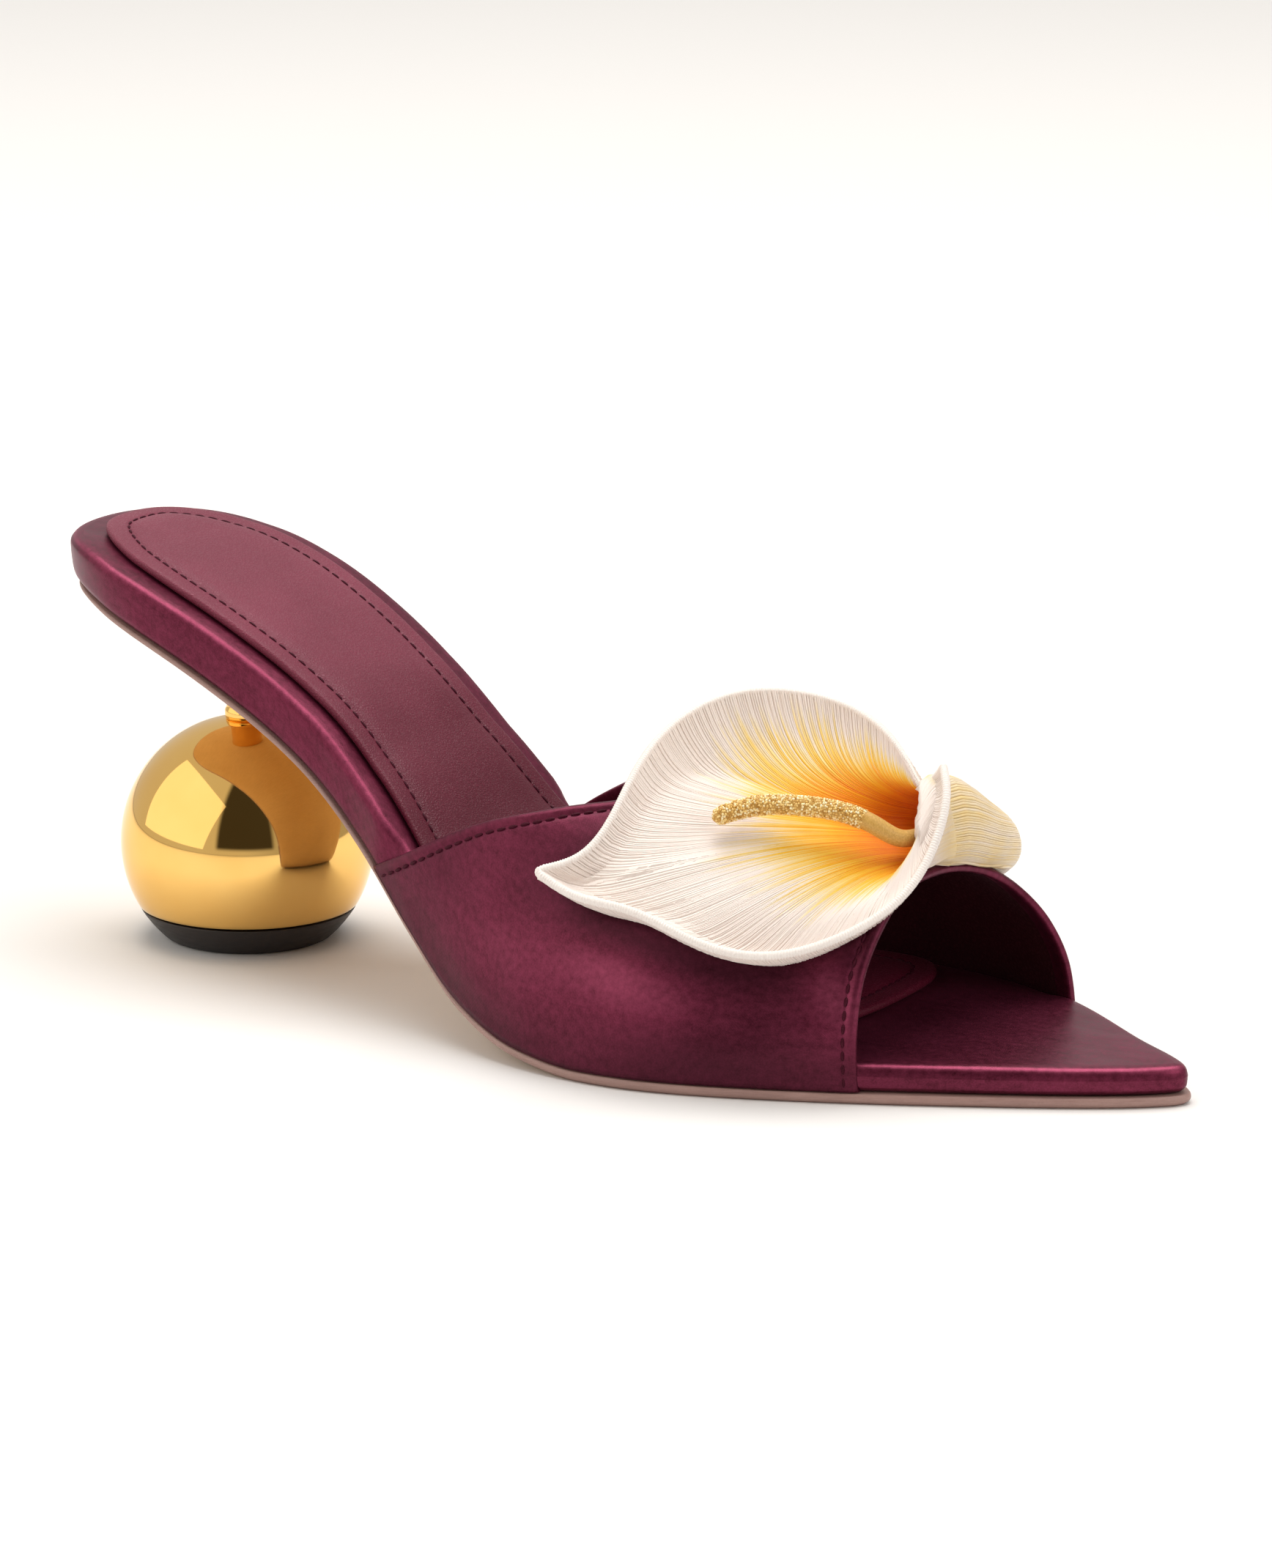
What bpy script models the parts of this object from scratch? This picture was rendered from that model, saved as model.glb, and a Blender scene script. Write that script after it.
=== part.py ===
"""Heeled mule: pointed open toe, vamp band, ball heel and a calla flower on the vamp.

Right shoe. Sizes are in millimetres in the shoe's own plan frame: x runs from the heel ball's centre
to the toe, y to the medial side, z up from the floor. The pieces are then moved so that the origin is
the middle of the shoe's plan on the floor, in metres.
"""

import math

import bmesh
import bpy
import numpy as np

MM = 0.001

# Middle of the whole shoe's plan, which becomes the origin.
ORIGIN_X = 82.95
ORIGIN_Y = -5.538

# Clearance between pieces that meet.
GAP = 0.3

# Sole outline in plan: x, lateral half width, medial half width.
OUTLINE = (
    (-33.5, 0.0, 0.0),
    (-32.4, 7.8, 8.0),
    (-28.6, 14.7, 15.2),
    (-20.2, 20.9, 21.9),
    (-8.0, 24.7, 26.4),
    (10.0, 25.6, 26.8),
    (25.0, 25.4, 24.7),
    (40.0, 27.2, 22.0),
    (60.0, 34.4, 20.8),
    (80.0, 42.2, 23.2),
    (95.0, 45.8, 27.0),
    (112.0, 46.1, 31.1),
    (130.0, 40.9, 33.0),
    (150.0, 32.0, 30.5),
    (170.0, 21.4, 20.8),
    (186.0, 12.0, 9.8),
    (195.6, 4.8, 3.9),
    (198.8, 0.0, 0.0),
)
OUTLINE_STEPS = 3

# Side profile: x, height of the sole's underside.
PROFILE = (
    (-36.0, 65.6),
    (-25.0, 64.6),
    (-12.0, 61.5),
    (0.0, 57.2),
    (15.0, 50.0),
    (30.0, 40.9),
    (45.0, 29.3),
    (60.0, 16.8),
    (75.0, 6.6),
    (90.0, 1.6),
    (105.0, 0.0),
    (120.0, 0.0),
    (200.0, 0.0),
)

# Layers, measured square to the profile: x, outsole, whole sole to the footbed's top.
LAYERS = (
    (-36.0, 1.2, 10.0),
    (60.0, 1.3, 9.6),
    (85.0, 1.6, 8.2),
    (110.0, 1.9, 7.4),
    (200.0, 1.9, 7.0),
)
# The heel's back leans in towards the underside: depth, station where it starts, length of its ramp.
HEEL_UNDERCUT = 1.7
UNDERCUT_START = -6.0
UNDERCUT_RAMP = 26.0

# Outsole edge from below: inset, share of its thickness. Ahead of the arch it stands proud of the footbed.
OUTSOLE_EDGE = ((0.9, 0.0), (0.1, 0.35), (0.0, 0.75), (0.3, 1.0))
OUTSOLE_PROUD = 0.6
OUTSOLE_PROUD_START = 60.0
OUTSOLE_PROUD_RAMP = 25.0
OUTSOLE_LEAN = 0.12

# Vamp band over the footbed: x, crest height, crest side, fullness of the arch.
VAMP = (
    (40.0, 73.0, -4.0, 2.1),
    (60.0, 63.5, -5.0, 2.1),
    (80.0, 55.0, -6.0, 2.15),
    (95.0, 49.8, -6.0, 2.15),
    (110.0, 46.0, -6.0, 2.15),
    (130.0, 41.0, -5.0, 2.15),
    (150.0, 36.0, -4.0, 2.15),
    (170.0, 31.0, -2.0, 2.15),
)
BAND_WALL = 1.6
BAND_PROUD = 0.5

# Footbed side wall, lower part: inset, height over the outsole, share of the undercut that is over.
FOOTBED_LOW = ((1.0, 0.0, 0.12), (0.2, 0.8, 0.4), (0.0, 2.4, 0.75))
# Footbed side wall, upper part: inset, depth under the top.
FOOTBED_HIGH = ((0.0, 2.0), (0.35, 0.9), (1.2, 0.2), (2.4, 0.0))
# The band's foot lies in a shallow recess of the footbed's wall: side, first x, last x.
BAND_SEAT = {True: (49.0, 152.5), False: (53.0, 163.0)}
BAND_SEAT_DEPTH = 1.9
BAND_SEAT_RAMP = 5.0

# Sock in plan: x, lateral half width, medial half width.
SOCK = (
    (-27.2, 0.0, 0.0),
    (-26.2, 6.4, 6.4),
    (-22.6, 11.4, 11.5),
    (-15.0, 16.6, 16.8),
    (-5.0, 19.6, 20.0),
    (10.0, 20.5, 20.2),
    (25.0, 20.4, 18.2),
    (40.0, 22.0, 15.6),
    (60.0, 28.6, 14.8),
    (80.0, 36.4, 17.4),
    (97.0, 40.6, 21.8),
    (112.0, 40.6, 25.6),
    (124.0, 36.2, 27.4),
    (132.0, 28.6, 26.0),
    (136.6, 18.0, 19.6),
    (138.2, 8.0, 9.0),
    (138.6, 0.0, 0.0),
)
# Sock section from its edge inwards: inset, height. At its narrow ends the inset is held back.
SOCK_SECTION = ((0.3, 0.0), (0.0, 0.75), (0.25, 1.275), (1.0, 1.5), (6.0, 2.22))
SOCK_END_WIDTH_SHARE = 0.55
SOCK_END_INSET_SHARE = 0.35

# Vamp band edges: u from lateral foot (0) over the crest to medial foot (1), throat x, toe x.
BAND_EDGES = (
    (0.0, 49.9, 152.0),
    (0.1, 61.0, 151.2),
    (0.2, 73.2, 150.8),
    (0.3, 88.2, 150.9),
    (0.4, 102.6, 150.7),
    (0.5, 110.4, 151.4),
    (0.6, 104.4, 153.0),
    (0.7, 90.0, 155.4),
    (0.8, 76.0, 159.2),
    (0.9, 64.0, 161.7),
    (1.0, 54.0, 162.4),
)
BAND_ACROSS = 40
BAND_ALONG = 14
# Folded band edge: distance from the edge, share of the wall kept.
BAND_FOLD = ((0.0, 0.45), (0.5, 0.85), (1.2, 1.0))

# Heel.
BALL_RADIUS = 23.5
BALL_CENTRE_Z = 17.9
LIFT_TOP_Z = 5.7
HEEL_SEGMENTS = 36
BALL_RINGS = 13
BALL_LAST_TILT = 86.0
LIFT_RINGS = 4
LIFT_FIRST_SHARE = 0.06
LIFT_TREAD_INSET = 0.4
# Stem: share of its height, radius.
STEM = ((0.0, 3.6), (0.12, 3.55), (0.45, 4.2), (0.75, 5.0), (1.0, 5.9))
STEM_RINGS = (0.0, 0.2, 0.5, 0.75, 1.0)

# Flower: the petal is rolled into a tube that opens into a throat and flares to a corded rim.
# Tube centreline from the stalk to the throat: x, y, z, radius.
TUBE = (
    (144.2, 25.4, 30.4, 2.8),
    (148.8, 19.2, 34.0, 3.6),
    (150.9, 10.2, 37.8, 4.5),
    (149.0, 0.0, 42.2, 6.0),
)
THROAT_AXIS = (-0.62, -0.77, -0.12)
# The rolled sheet's seam winds from the stalk to the throat, where its outer edge laps the tucked one.
SEAM_AT_STALK = 100.0
SEAM_AT_THROAT = 30.0
SEAM_SLIT = 6.0
LAP_ANGLE = 25.0
LAP_LIFT = 1.6
LAP_START = 280.0
LAP_RAMP = 90.0
RIM_FRONT_SPREAD = 1.6
# Rim from the tucked edge over the raised back side to the tip: x, y, z.
RIM_BACK = (
    (144.6, 0.0, 48.4),
    (138.2, 4.5, 52.6),
    (129.4, 8.4, 56.7),
    (119.6, 9.4, 59.0),
    (107.3, 3.5, 59.8),
    (100.9, -13.5, 54.9),
    (102.0, -27.6, 47.5),
    (99.6, -40.0, 37.9),
    (95.0, -44.4, 36.2),
)
# Rim from the tip along the low front side to the lapped edge: x, y, z.
RIM_FRONT = (
    (95.0, -44.4, 36.2),
    (102.3, -44.4, 33.4),
    (113.0, -43.3, 32.0),
    (125.2, -41.2, 27.8),
    (137.0, -37.2, 26.1),
    (146.6, -29.4, 29.0),
    (152.4, -20.2, 34.3),
    (154.0, -12.0, 41.2),
    (152.8, -5.2, 49.4),
    (149.4, -0.6, 53.0),
)
PETAL_THICK = 1.1
RIM_THICK = 2.1
PETAL_AROUND = 52
TUBE_STEPS = 4
# Columns of the flare from throat to rim: share of the way, share of the cord's swelling.
FLARE = (
    (0.1, 0.0),
    (0.22, 0.0),
    (0.35, 0.0),
    (0.5, 0.0),
    (0.64, 0.0),
    (0.78, 0.0),
    (0.89, 0.0),
    (0.945, 0.0),
    (0.965, 0.9),
    (0.99, 0.9),
    (1.0, 0.3),
)
THROAT_REACH = 26.0
THROAT_BEND = 0.8
RIM_REACH = 0.3
RIM_DROP = 9.0
RIM_DROP_REACH = 40.0

# Spadix from inside the throat to its free end: x, y, z, radius.
SPADIX = (
    (150.0, -3.0, 42.6, 1.7),
    (146.8, -10.5, 42.1, 1.8),
    (143.7, -13.0, 44.4, 1.9),
    (138.4, -15.0, 46.4, 1.9),
    (132.0, -18.0, 47.3, 1.9),
    (124.2, -21.0, 46.8, 1.9),
    (118.6, -26.0, 44.8, 1.7),
)
SPADIX_SIDES = 10
SPADIX_STEPS = 12
SPADIX_END_SHARE = 0.45

# Stalk on the medial side of the band: u, x, half width, height.
STALK = (
    (0.775, 142.8, 3.2, 5.2),
    (0.83, 141.2, 3.4, 3.6),
    (0.89, 139.2, 3.4, 2.8),
    (0.95, 136.6, 3.4, 2.6),
    (0.995, 134.6, 3.4, 2.4),
)
STALK_SIDES = 10
STALK_STEPS = 10
STALK_ROUND = 0.8
STALK_SLANT = 0.003
STALK_LAST_U = 0.997
# Plug of the stalk in the tube: radius, depth.
STALK_PLUG = (2.3, 3.0)


def smooth(rows, column):
    """Return a monotone cubic function of the first column through one column of a table."""
    table = np.array(rows, dtype=float)
    x = table[:, 0]
    y = table[:, column]
    h = np.diff(x)
    d = np.diff(y) / h
    m = np.zeros_like(y)
    m[0] = d[0]
    m[-1] = d[-1]
    for i in range(1, len(x) - 1):
        if d[i - 1] * d[i] > 0.0:
            w1 = 2.0 * h[i] + h[i - 1]
            w2 = h[i] + 2.0 * h[i - 1]
            m[i] = (w1 + w2) / (w1 / d[i - 1] + w2 / d[i])

    def value(at):
        at = np.clip(np.asarray(at, dtype=float), x[0], x[-1])
        k = np.clip(np.searchsorted(x, at) - 1, 0, len(h) - 1)
        t = (at - x[k]) / h[k]
        s = 1.0 - t
        return (
            (1.0 + 2.0 * t) * s * s * y[k]
            + t * s * s * h[k] * m[k]
            + t * t * (3.0 - 2.0 * t) * y[k + 1]
            - t * t * s * h[k] * m[k + 1]
        )

    return value


under = smooth(PROFILE, 1)
outsole_thick = smooth(LAYERS, 1)
sole_thick = smooth(LAYERS, 2)
crest_height = smooth(VAMP, 1)
crest_side = smooth(VAMP, 2)
fullness = smooth(VAMP, 3)


def slant(x):
    """Vertical stretch of a layer where the profile slopes."""
    rise = under(x + 0.5) - under(x - 0.5)
    return np.sqrt(1.0 + rise * rise)


def outsole_top(x):
    """Height of the outsole's upper face."""
    return under(x) + outsole_thick(x) * slant(x)


def footbed_top(x):
    """Height of the footbed's upper face."""
    return under(x) + sole_thick(x) * slant(x)


def closed_spline(points, steps):
    """Sample a closed cubic curve through points, with the same steps in every span."""
    p = np.array(points, dtype=float)
    n = len(p)
    span = np.linalg.norm(np.roll(p, -1, axis=0) - p, axis=1) ** 0.75
    a = np.zeros((n, n))
    b = np.zeros_like(p)
    for i in range(n):
        before = span[i - 1]
        after = span[i]
        a[i, i - 1] = after
        a[i, i] = 2.0 * (before + after)
        a[i, (i + 1) % n] = before
        ahead = (p[(i + 1) % n] - p[i]) / after
        behind = (p[i] - p[i - 1]) / before
        b[i] = 3.0 * (after * behind + before * ahead)
    m = np.linalg.solve(a, b)
    out = []
    for i in range(n):
        k = (i + 1) % n
        for j in range(steps):
            t = j / steps
            s = 1.0 - t
            out.append(
                (1.0 + 2.0 * t) * s * s * p[i]
                + t * s * s * span[i] * m[i]
                + t * t * (3.0 - 2.0 * t) * p[k]
                - t * t * s * span[i] * m[k]
            )
    return np.array(out)


def plan_loop(rows, steps):
    """Closed plan loop from heel back along the lateral side to the tip and home on the medial side."""
    lateral = [(row[0], -row[1]) for row in rows]
    medial = [(row[0], row[2]) for row in rows[-2:0:-1]]
    return closed_spline(lateral + medial, steps)


def inset(loop, depth):
    """Move a plan loop inwards by a depth, which may differ from point to point."""
    ahead = np.roll(loop, -1, axis=0) - np.roll(loop, 1, axis=0)
    ahead /= np.linalg.norm(ahead, axis=1)[:, None]
    inward = np.stack([-ahead[:, 1], ahead[:, 0]], axis=1)
    return loop + inward * np.broadcast_to(np.asarray(depth, dtype=float), (len(loop),))[:, None]


SOLE_LOOP = plan_loop(OUTLINE, OUTLINE_STEPS)


def half_width(x, lateral):
    """Half width of the sole at a station, on the lateral or the medial side."""
    half = len(SOLE_LOOP) // 2
    side = SOLE_LOOP[: half + 1] if lateral else np.roll(SOLE_LOOP, -half, axis=0)[: half + 1][::-1]
    return np.interp(x, side[:, 0], np.abs(side[:, 1]))


def section_reach(x, lateral):
    """Half width of the band's section from its crest to its foot on one side."""
    lean = crest_side(x) if lateral else -crest_side(x)
    return half_width(x, lateral) + BAND_PROUD + lean


def band_point(x, u, lift=0.0):
    """Point of the band's outer face at a station and a share of the way round, lifted square to it."""
    if lift:
        return band_point(x, u) + lift * band_normal(x, u)
    foot = outsole_top(x) + GAP
    rise = crest_height(x) - foot
    middle = crest_side(x)
    power = 2.0 / fullness(x)
    c = math.cos(math.pi * u)
    s = max(math.sin(math.pi * u), 0.0)
    if c > 0.0:
        y = middle - section_reach(x, True) * c ** power
    else:
        y = middle + section_reach(x, False) * (-c) ** power
    return np.array([float(x), float(y), float(foot + rise * s ** power)])


def band_normal(x, u):
    """Outward unit normal of the band's outer face."""
    low = min(max(u, 0.004), 0.996)
    along = band_point(x + 0.2, low) - band_point(x - 0.2, low)
    around = band_point(x, low + 0.003) - band_point(x, low - 0.003)
    normal = np.cross(along, around)
    normal /= np.linalg.norm(normal)
    out = band_point(x, low) - np.array([x, crest_side(x), outsole_top(x)])
    return normal if normal @ out > 0.0 else -normal


def clear_of_band(point, clearance):
    """Push a point out of the band's section until it lies at least a clearance outside."""
    x, y, z = point
    foot = outsole_top(x) + GAP
    middle = crest_side(x)
    side = y - middle
    reach = section_reach(x, side < 0.0)
    power = fullness(x)
    rise = crest_height(x) - foot
    size = ((abs(side) / reach) ** power + (max(z - foot, 0.0) / rise) ** power) ** (1.0 / power)
    distance = math.hypot(side, z - foot)
    outside = distance * (1.0 - 1.0 / size)
    if outside >= clearance:
        return np.array(point)
    grow = (distance / size + clearance) / distance
    return np.array([x, middle + side * grow, foot + (z - foot) * grow])


def open_spline(points, samples):
    """Sample an open cubic curve through points at shares of its length."""
    p = np.array(points, dtype=float)
    n = len(p)
    span = np.linalg.norm(np.diff(p[:, :3], axis=0), axis=1)
    knots = np.concatenate([[0.0], np.cumsum(span)])
    a = np.zeros((n, n))
    b = np.zeros_like(p)
    a[0, :2] = (2.0, 1.0)
    b[0] = 3.0 * (p[1] - p[0]) / span[0]
    a[-1, -2:] = (1.0, 2.0)
    b[-1] = 3.0 * (p[-1] - p[-2]) / span[-1]
    for i in range(1, n - 1):
        a[i, i - 1 : i + 2] = (span[i], 2.0 * (span[i - 1] + span[i]), span[i - 1])
        b[i] = 3.0 * (span[i] * (p[i] - p[i - 1]) / span[i - 1] + span[i - 1] * (p[i + 1] - p[i]) / span[i])
    m = np.linalg.solve(a, b)
    out = []
    for share in samples:
        at = share * knots[-1]
        k = min(max(int(np.searchsorted(knots, at)) - 1, 0), n - 2)
        t = (at - knots[k]) / span[k]
        s = 1.0 - t
        out.append(
            (1.0 + 2.0 * t) * s * s * p[k]
            + t * s * s * span[k] * m[k]
            + t * t * (3.0 - 2.0 * t) * p[k + 1]
            - t * t * s * span[k] * m[k + 1]
        )
    return np.array(out)


def ease(t):
    """Smooth step between 0 and 1."""
    t = np.clip(t, 0.0, 1.0)
    return t * t * (3.0 - 2.0 * t)


def unit(vector):
    """Vector scaled to length one."""
    return vector / np.linalg.norm(vector)


def clear_scene():
    """Remove every object of the scene."""
    for item in list(bpy.data.objects):
        bpy.data.objects.remove(item, do_unlink=True)


def make_material(name, colour, metallic, roughness):
    """Principled material with plain values."""
    material = bpy.data.materials.new(name)
    material.use_nodes = True
    shader = material.node_tree.nodes["Principled BSDF"]
    shader.inputs["Base Color"].default_value = (*colour, 1.0)
    shader.inputs["Metallic"].default_value = metallic
    shader.inputs["Roughness"].default_value = roughness
    material.diffuse_color = (*colour, 1.0)
    return material


def make_solid(name, points, faces, material):
    """Closed mesh object from points in millimetres, moved to the shoe's origin."""
    mesh = bpy.data.meshes.new(name)
    origin = np.array([ORIGIN_X, ORIGIN_Y, 0.0])
    mesh.from_pydata([tuple((np.asarray(p) - origin) * MM) for p in points], [], faces)
    shape = bmesh.new()
    shape.from_mesh(mesh)
    bmesh.ops.remove_doubles(shape, verts=shape.verts, dist=0.00001)
    bmesh.ops.recalc_face_normals(shape, faces=shape.faces)
    shape.to_mesh(mesh)
    shape.free()
    for polygon in mesh.polygons:
        polygon.use_smooth = True
    mesh.materials.append(material)
    item = bpy.data.objects.new(name, mesh)
    bpy.context.scene.collection.objects.link(item)
    return item


def ladder(first, count):
    """Faces that fill a plan loop by rungs from its lateral to its medial side."""
    half = count // 2
    faces = [(first, first + 1, first + count - 1)]
    for i in range(1, half - 1):
        faces.append((first + i, first + i + 1, first + count - i - 1, first + count - i))
    faces.append((first + half - 1, first + half, first + half + 1))
    return faces


def stack_solid(name, loops, material):
    """Solid through a stack of plan loops, closed by rungs below and above."""
    count = len(loops[0])
    points = [p for loop in loops for p in loop]
    faces = ladder(0, count) + ladder((len(loops) - 1) * count, count)
    for k in range(len(loops) - 1):
        for i in range(count):
            j = (i + 1) % count
            faces.append((k * count + i, k * count + j, (k + 1) * count + j, (k + 1) * count + i))
    return make_solid(name, points, faces, material)


def turned_solid(name, rings, material):
    """Solid through rings of points, with a middle point closing each end."""
    sides = len(rings[0])
    points = [p for ring in rings for p in ring]
    faces = []
    for k in range(len(rings) - 1):
        for i in range(sides):
            j = (i + 1) % sides
            faces.append((k * sides + i, k * sides + j, (k + 1) * sides + j, (k + 1) * sides + i))
    for k in (0, len(rings) - 1):
        middle = len(points)
        points.append(np.mean(rings[k], axis=0))
        for i in range(sides):
            faces.append((k * sides + i, k * sides + (i + 1) % sides, middle))
    return make_solid(name, points, faces, material)


def sheet_solid(name, front, back, material):
    """Solid between two grids of points, closed along all four edges."""
    rows = len(front)
    columns = len(front[0])
    size = rows * columns
    points = [p for row in front for p in row] + [p for row in back for p in row]
    faces = []
    for i in range(rows - 1):
        for j in range(columns - 1):
            quad = (i * columns + j, i * columns + j + 1, (i + 1) * columns + j + 1, (i + 1) * columns + j)
            faces.append(quad)
            faces.append(tuple(size + k for k in quad))
    edge = list(range(columns))
    edge += [i * columns + columns - 1 for i in range(1, rows)]
    edge += [(rows - 1) * columns + j for j in range(columns - 2, -1, -1)]
    edge += [i * columns for i in range(rows - 2, 0, -1)]
    for a, b in zip(edge, edge[1:] + edge[:1]):
        faces.append((a, b, size + b, size + a))
    return make_solid(name, points, faces, material)


def undercut(loop, share):
    """Extra inset of the heel's back, full at the underside and none at the top."""
    return HEEL_UNDERCUT * (1.0 - share) * ease((UNDERCUT_START - loop[:, 0]) / UNDERCUT_RAMP)


def build_outsole(material):
    """Thin outsole that follows the profile."""
    loops = []
    proud = OUTSOLE_PROUD * ease((SOLE_LOOP[:, 0] - OUTSOLE_PROUD_START) / OUTSOLE_PROUD_RAMP)
    for depth, share in OUTSOLE_EDGE:
        plan = inset(SOLE_LOOP, depth - proud + undercut(SOLE_LOOP, OUTSOLE_LEAN * share))
        x = plan[:, 0]
        z = under(x) + share * (outsole_top(x) - under(x))
        loops.append(np.column_stack([plan, z]))
    return stack_solid("outsole", loops, material)


def seat_depth(loop):
    """Inset of the footbed's wall where the band's foot lies against it."""
    depth = np.zeros(len(loop))
    for lateral, (first, last) in BAND_SEAT.items():
        side = loop[:, 1] < 0.0 if lateral else loop[:, 1] >= 0.0
        x = loop[:, 0]
        into = ease((x - first + BAND_SEAT_RAMP) / BAND_SEAT_RAMP)
        away = ease((last + BAND_SEAT_RAMP - x) / BAND_SEAT_RAMP)
        depth += np.where(side, BAND_SEAT_DEPTH * into * away, 0.0)
    return depth


def build_footbed(material):
    """Wrapped insole board with a rounded upper edge."""
    loops = []
    seat = seat_depth(SOLE_LOOP)
    for depth, height, share in FOOTBED_LOW:
        plan = inset(SOLE_LOOP, depth + seat + undercut(SOLE_LOOP, share))
        x = plan[:, 0]
        loops.append(np.column_stack([plan, outsole_top(x) + GAP + height * slant(x)]))
    for depth, below in FOOTBED_HIGH:
        plan = inset(SOLE_LOOP, depth + seat)
        x = plan[:, 0]
        loops.append(np.column_stack([plan, footbed_top(x) - below * slant(x)]))
    return stack_solid("footbed", loops, material)


def build_sock(material):
    """Padded sock on the footbed."""
    base = plan_loop(SOCK, OUTLINE_STEPS)
    width = SOCK_END_WIDTH_SHARE * np.abs(base[:, 1])
    loops = []
    for depth, height in SOCK_SECTION:
        plan = inset(base, np.minimum(depth, width + SOCK_END_INSET_SHARE * depth))
        x = plan[:, 0]
        loops.append(np.column_stack([plan, footbed_top(x) + (GAP + height) * slant(x)]))
    return stack_solid("sock_pad", loops, material)


def build_upper(material):
    """Vamp band as one hollow shell, open at the toe, the throat and underneath."""
    throat = smooth(BAND_EDGES, 1)
    toe = smooth(BAND_EDGES, 2)
    outer = []
    inner = []
    for i in range(BAND_ACROSS + 1):
        u = i / BAND_ACROSS
        first = float(throat(u))
        last = float(toe(u))
        stations = [(first + d, share) for d, share in BAND_FOLD]
        plain = BAND_ALONG - 1
        start = first + BAND_FOLD[-1][0]
        end = last - BAND_FOLD[-1][0]
        stations += [(start + (end - start) * k / plain, 1.0) for k in range(1, plain)]
        stations += [(last - d, share) for d, share in reversed(BAND_FOLD)]
        out_row = []
        in_row = []
        for x, share in stations:
            point = band_point(x, u)
            normal = band_normal(x, u)
            trim = 0.5 * BAND_WALL * (1.0 - share)
            face = point - trim * normal
            back = point - (BAND_WALL - trim) * normal
            if i in (0, BAND_ACROSS):
                face[2] = point[2]
                back[2] = point[2]
                back[0] = point[0]
                face[0] = point[0]
            out_row.append(face)
            in_row.append(back)
        outer.append(out_row)
        inner.append(in_row)
    return sheet_solid("upper", outer, inner, material)


def circle(radius, z):
    """Level ring round the heel's axis."""
    angles = [2.0 * math.pi * i / HEEL_SEGMENTS for i in range(HEEL_SEGMENTS)]
    return np.array([(radius * math.cos(angle), radius * math.sin(angle), z) for angle in angles])


def ball_ring(z):
    """Ring of the heel ball at a height."""
    return circle(math.sqrt(BALL_RADIUS ** 2 - (z - BALL_CENTRE_Z) ** 2), z)


def build_ball(material):
    """Heel ball above the top lift."""
    first = math.asin((LIFT_TOP_Z + GAP - BALL_CENTRE_Z) / BALL_RADIUS)
    last = math.radians(BALL_LAST_TILT)
    rings = []
    for k in range(BALL_RINGS):
        tilt = first + (last - first) * k / (BALL_RINGS - 1)
        rings.append(ball_ring(BALL_CENTRE_Z + BALL_RADIUS * math.sin(tilt)))
    return turned_solid("heel_ball", rings, material)


def build_lift(material):
    """Top lift, the ball's own bottom segment with a flat tread."""
    rings = [circle(math.sqrt(BALL_RADIUS ** 2 - BALL_CENTRE_Z ** 2) - LIFT_TREAD_INSET, 0.0)]
    for k in range(LIFT_RINGS):
        share = LIFT_FIRST_SHARE + (1.0 - LIFT_FIRST_SHARE) * k / (LIFT_RINGS - 1)
        rings.append(ball_ring(LIFT_TOP_Z * share))
    return turned_solid("top_lift", rings, material)


def build_heel_stem(material):
    """Turned stem, hollowed to the ball below and cut to the sole above."""
    radius = smooth(STEM, 1)
    rings = []
    for share in STEM_RINGS:
        ring = circle(float(radius(share)), 0.0)
        for point in ring:
            reach = math.hypot(point[0], point[1])
            low = BALL_CENTRE_Z + math.sqrt((BALL_RADIUS + GAP) ** 2 - reach ** 2)
            high = float(under(point[0])) - GAP
            point[2] = low + share * (high - low)
        rings.append(ring)
    return turned_solid("heel_stem", rings, material)


def level_frame(axis):
    """Axis with the top and side directions square to it."""
    top = unit(np.array([0.0, 0.0, 1.0]) - axis[2] * axis)
    return axis, top, unit(np.cross(axis, top))


def tube_frame(points):
    """Axis, top and side directions along a centreline."""
    frames = []
    for k in range(len(points)):
        axis = unit(points[min(k + 1, len(points) - 1)][:3] - points[max(k - 1, 0)][:3])
        frames.append(level_frame(axis))
    return frames


def rim_curve(share):
    """Rim point at a share of the way from the tucked edge (0) over the tip (0.5) to the lapped edge (1)."""
    if share <= 0.5:
        return open_spline(RIM_BACK, [share / 0.5])[0]
    return open_spline(RIM_FRONT, [(share - 0.5) / 0.5])[0]


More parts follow.
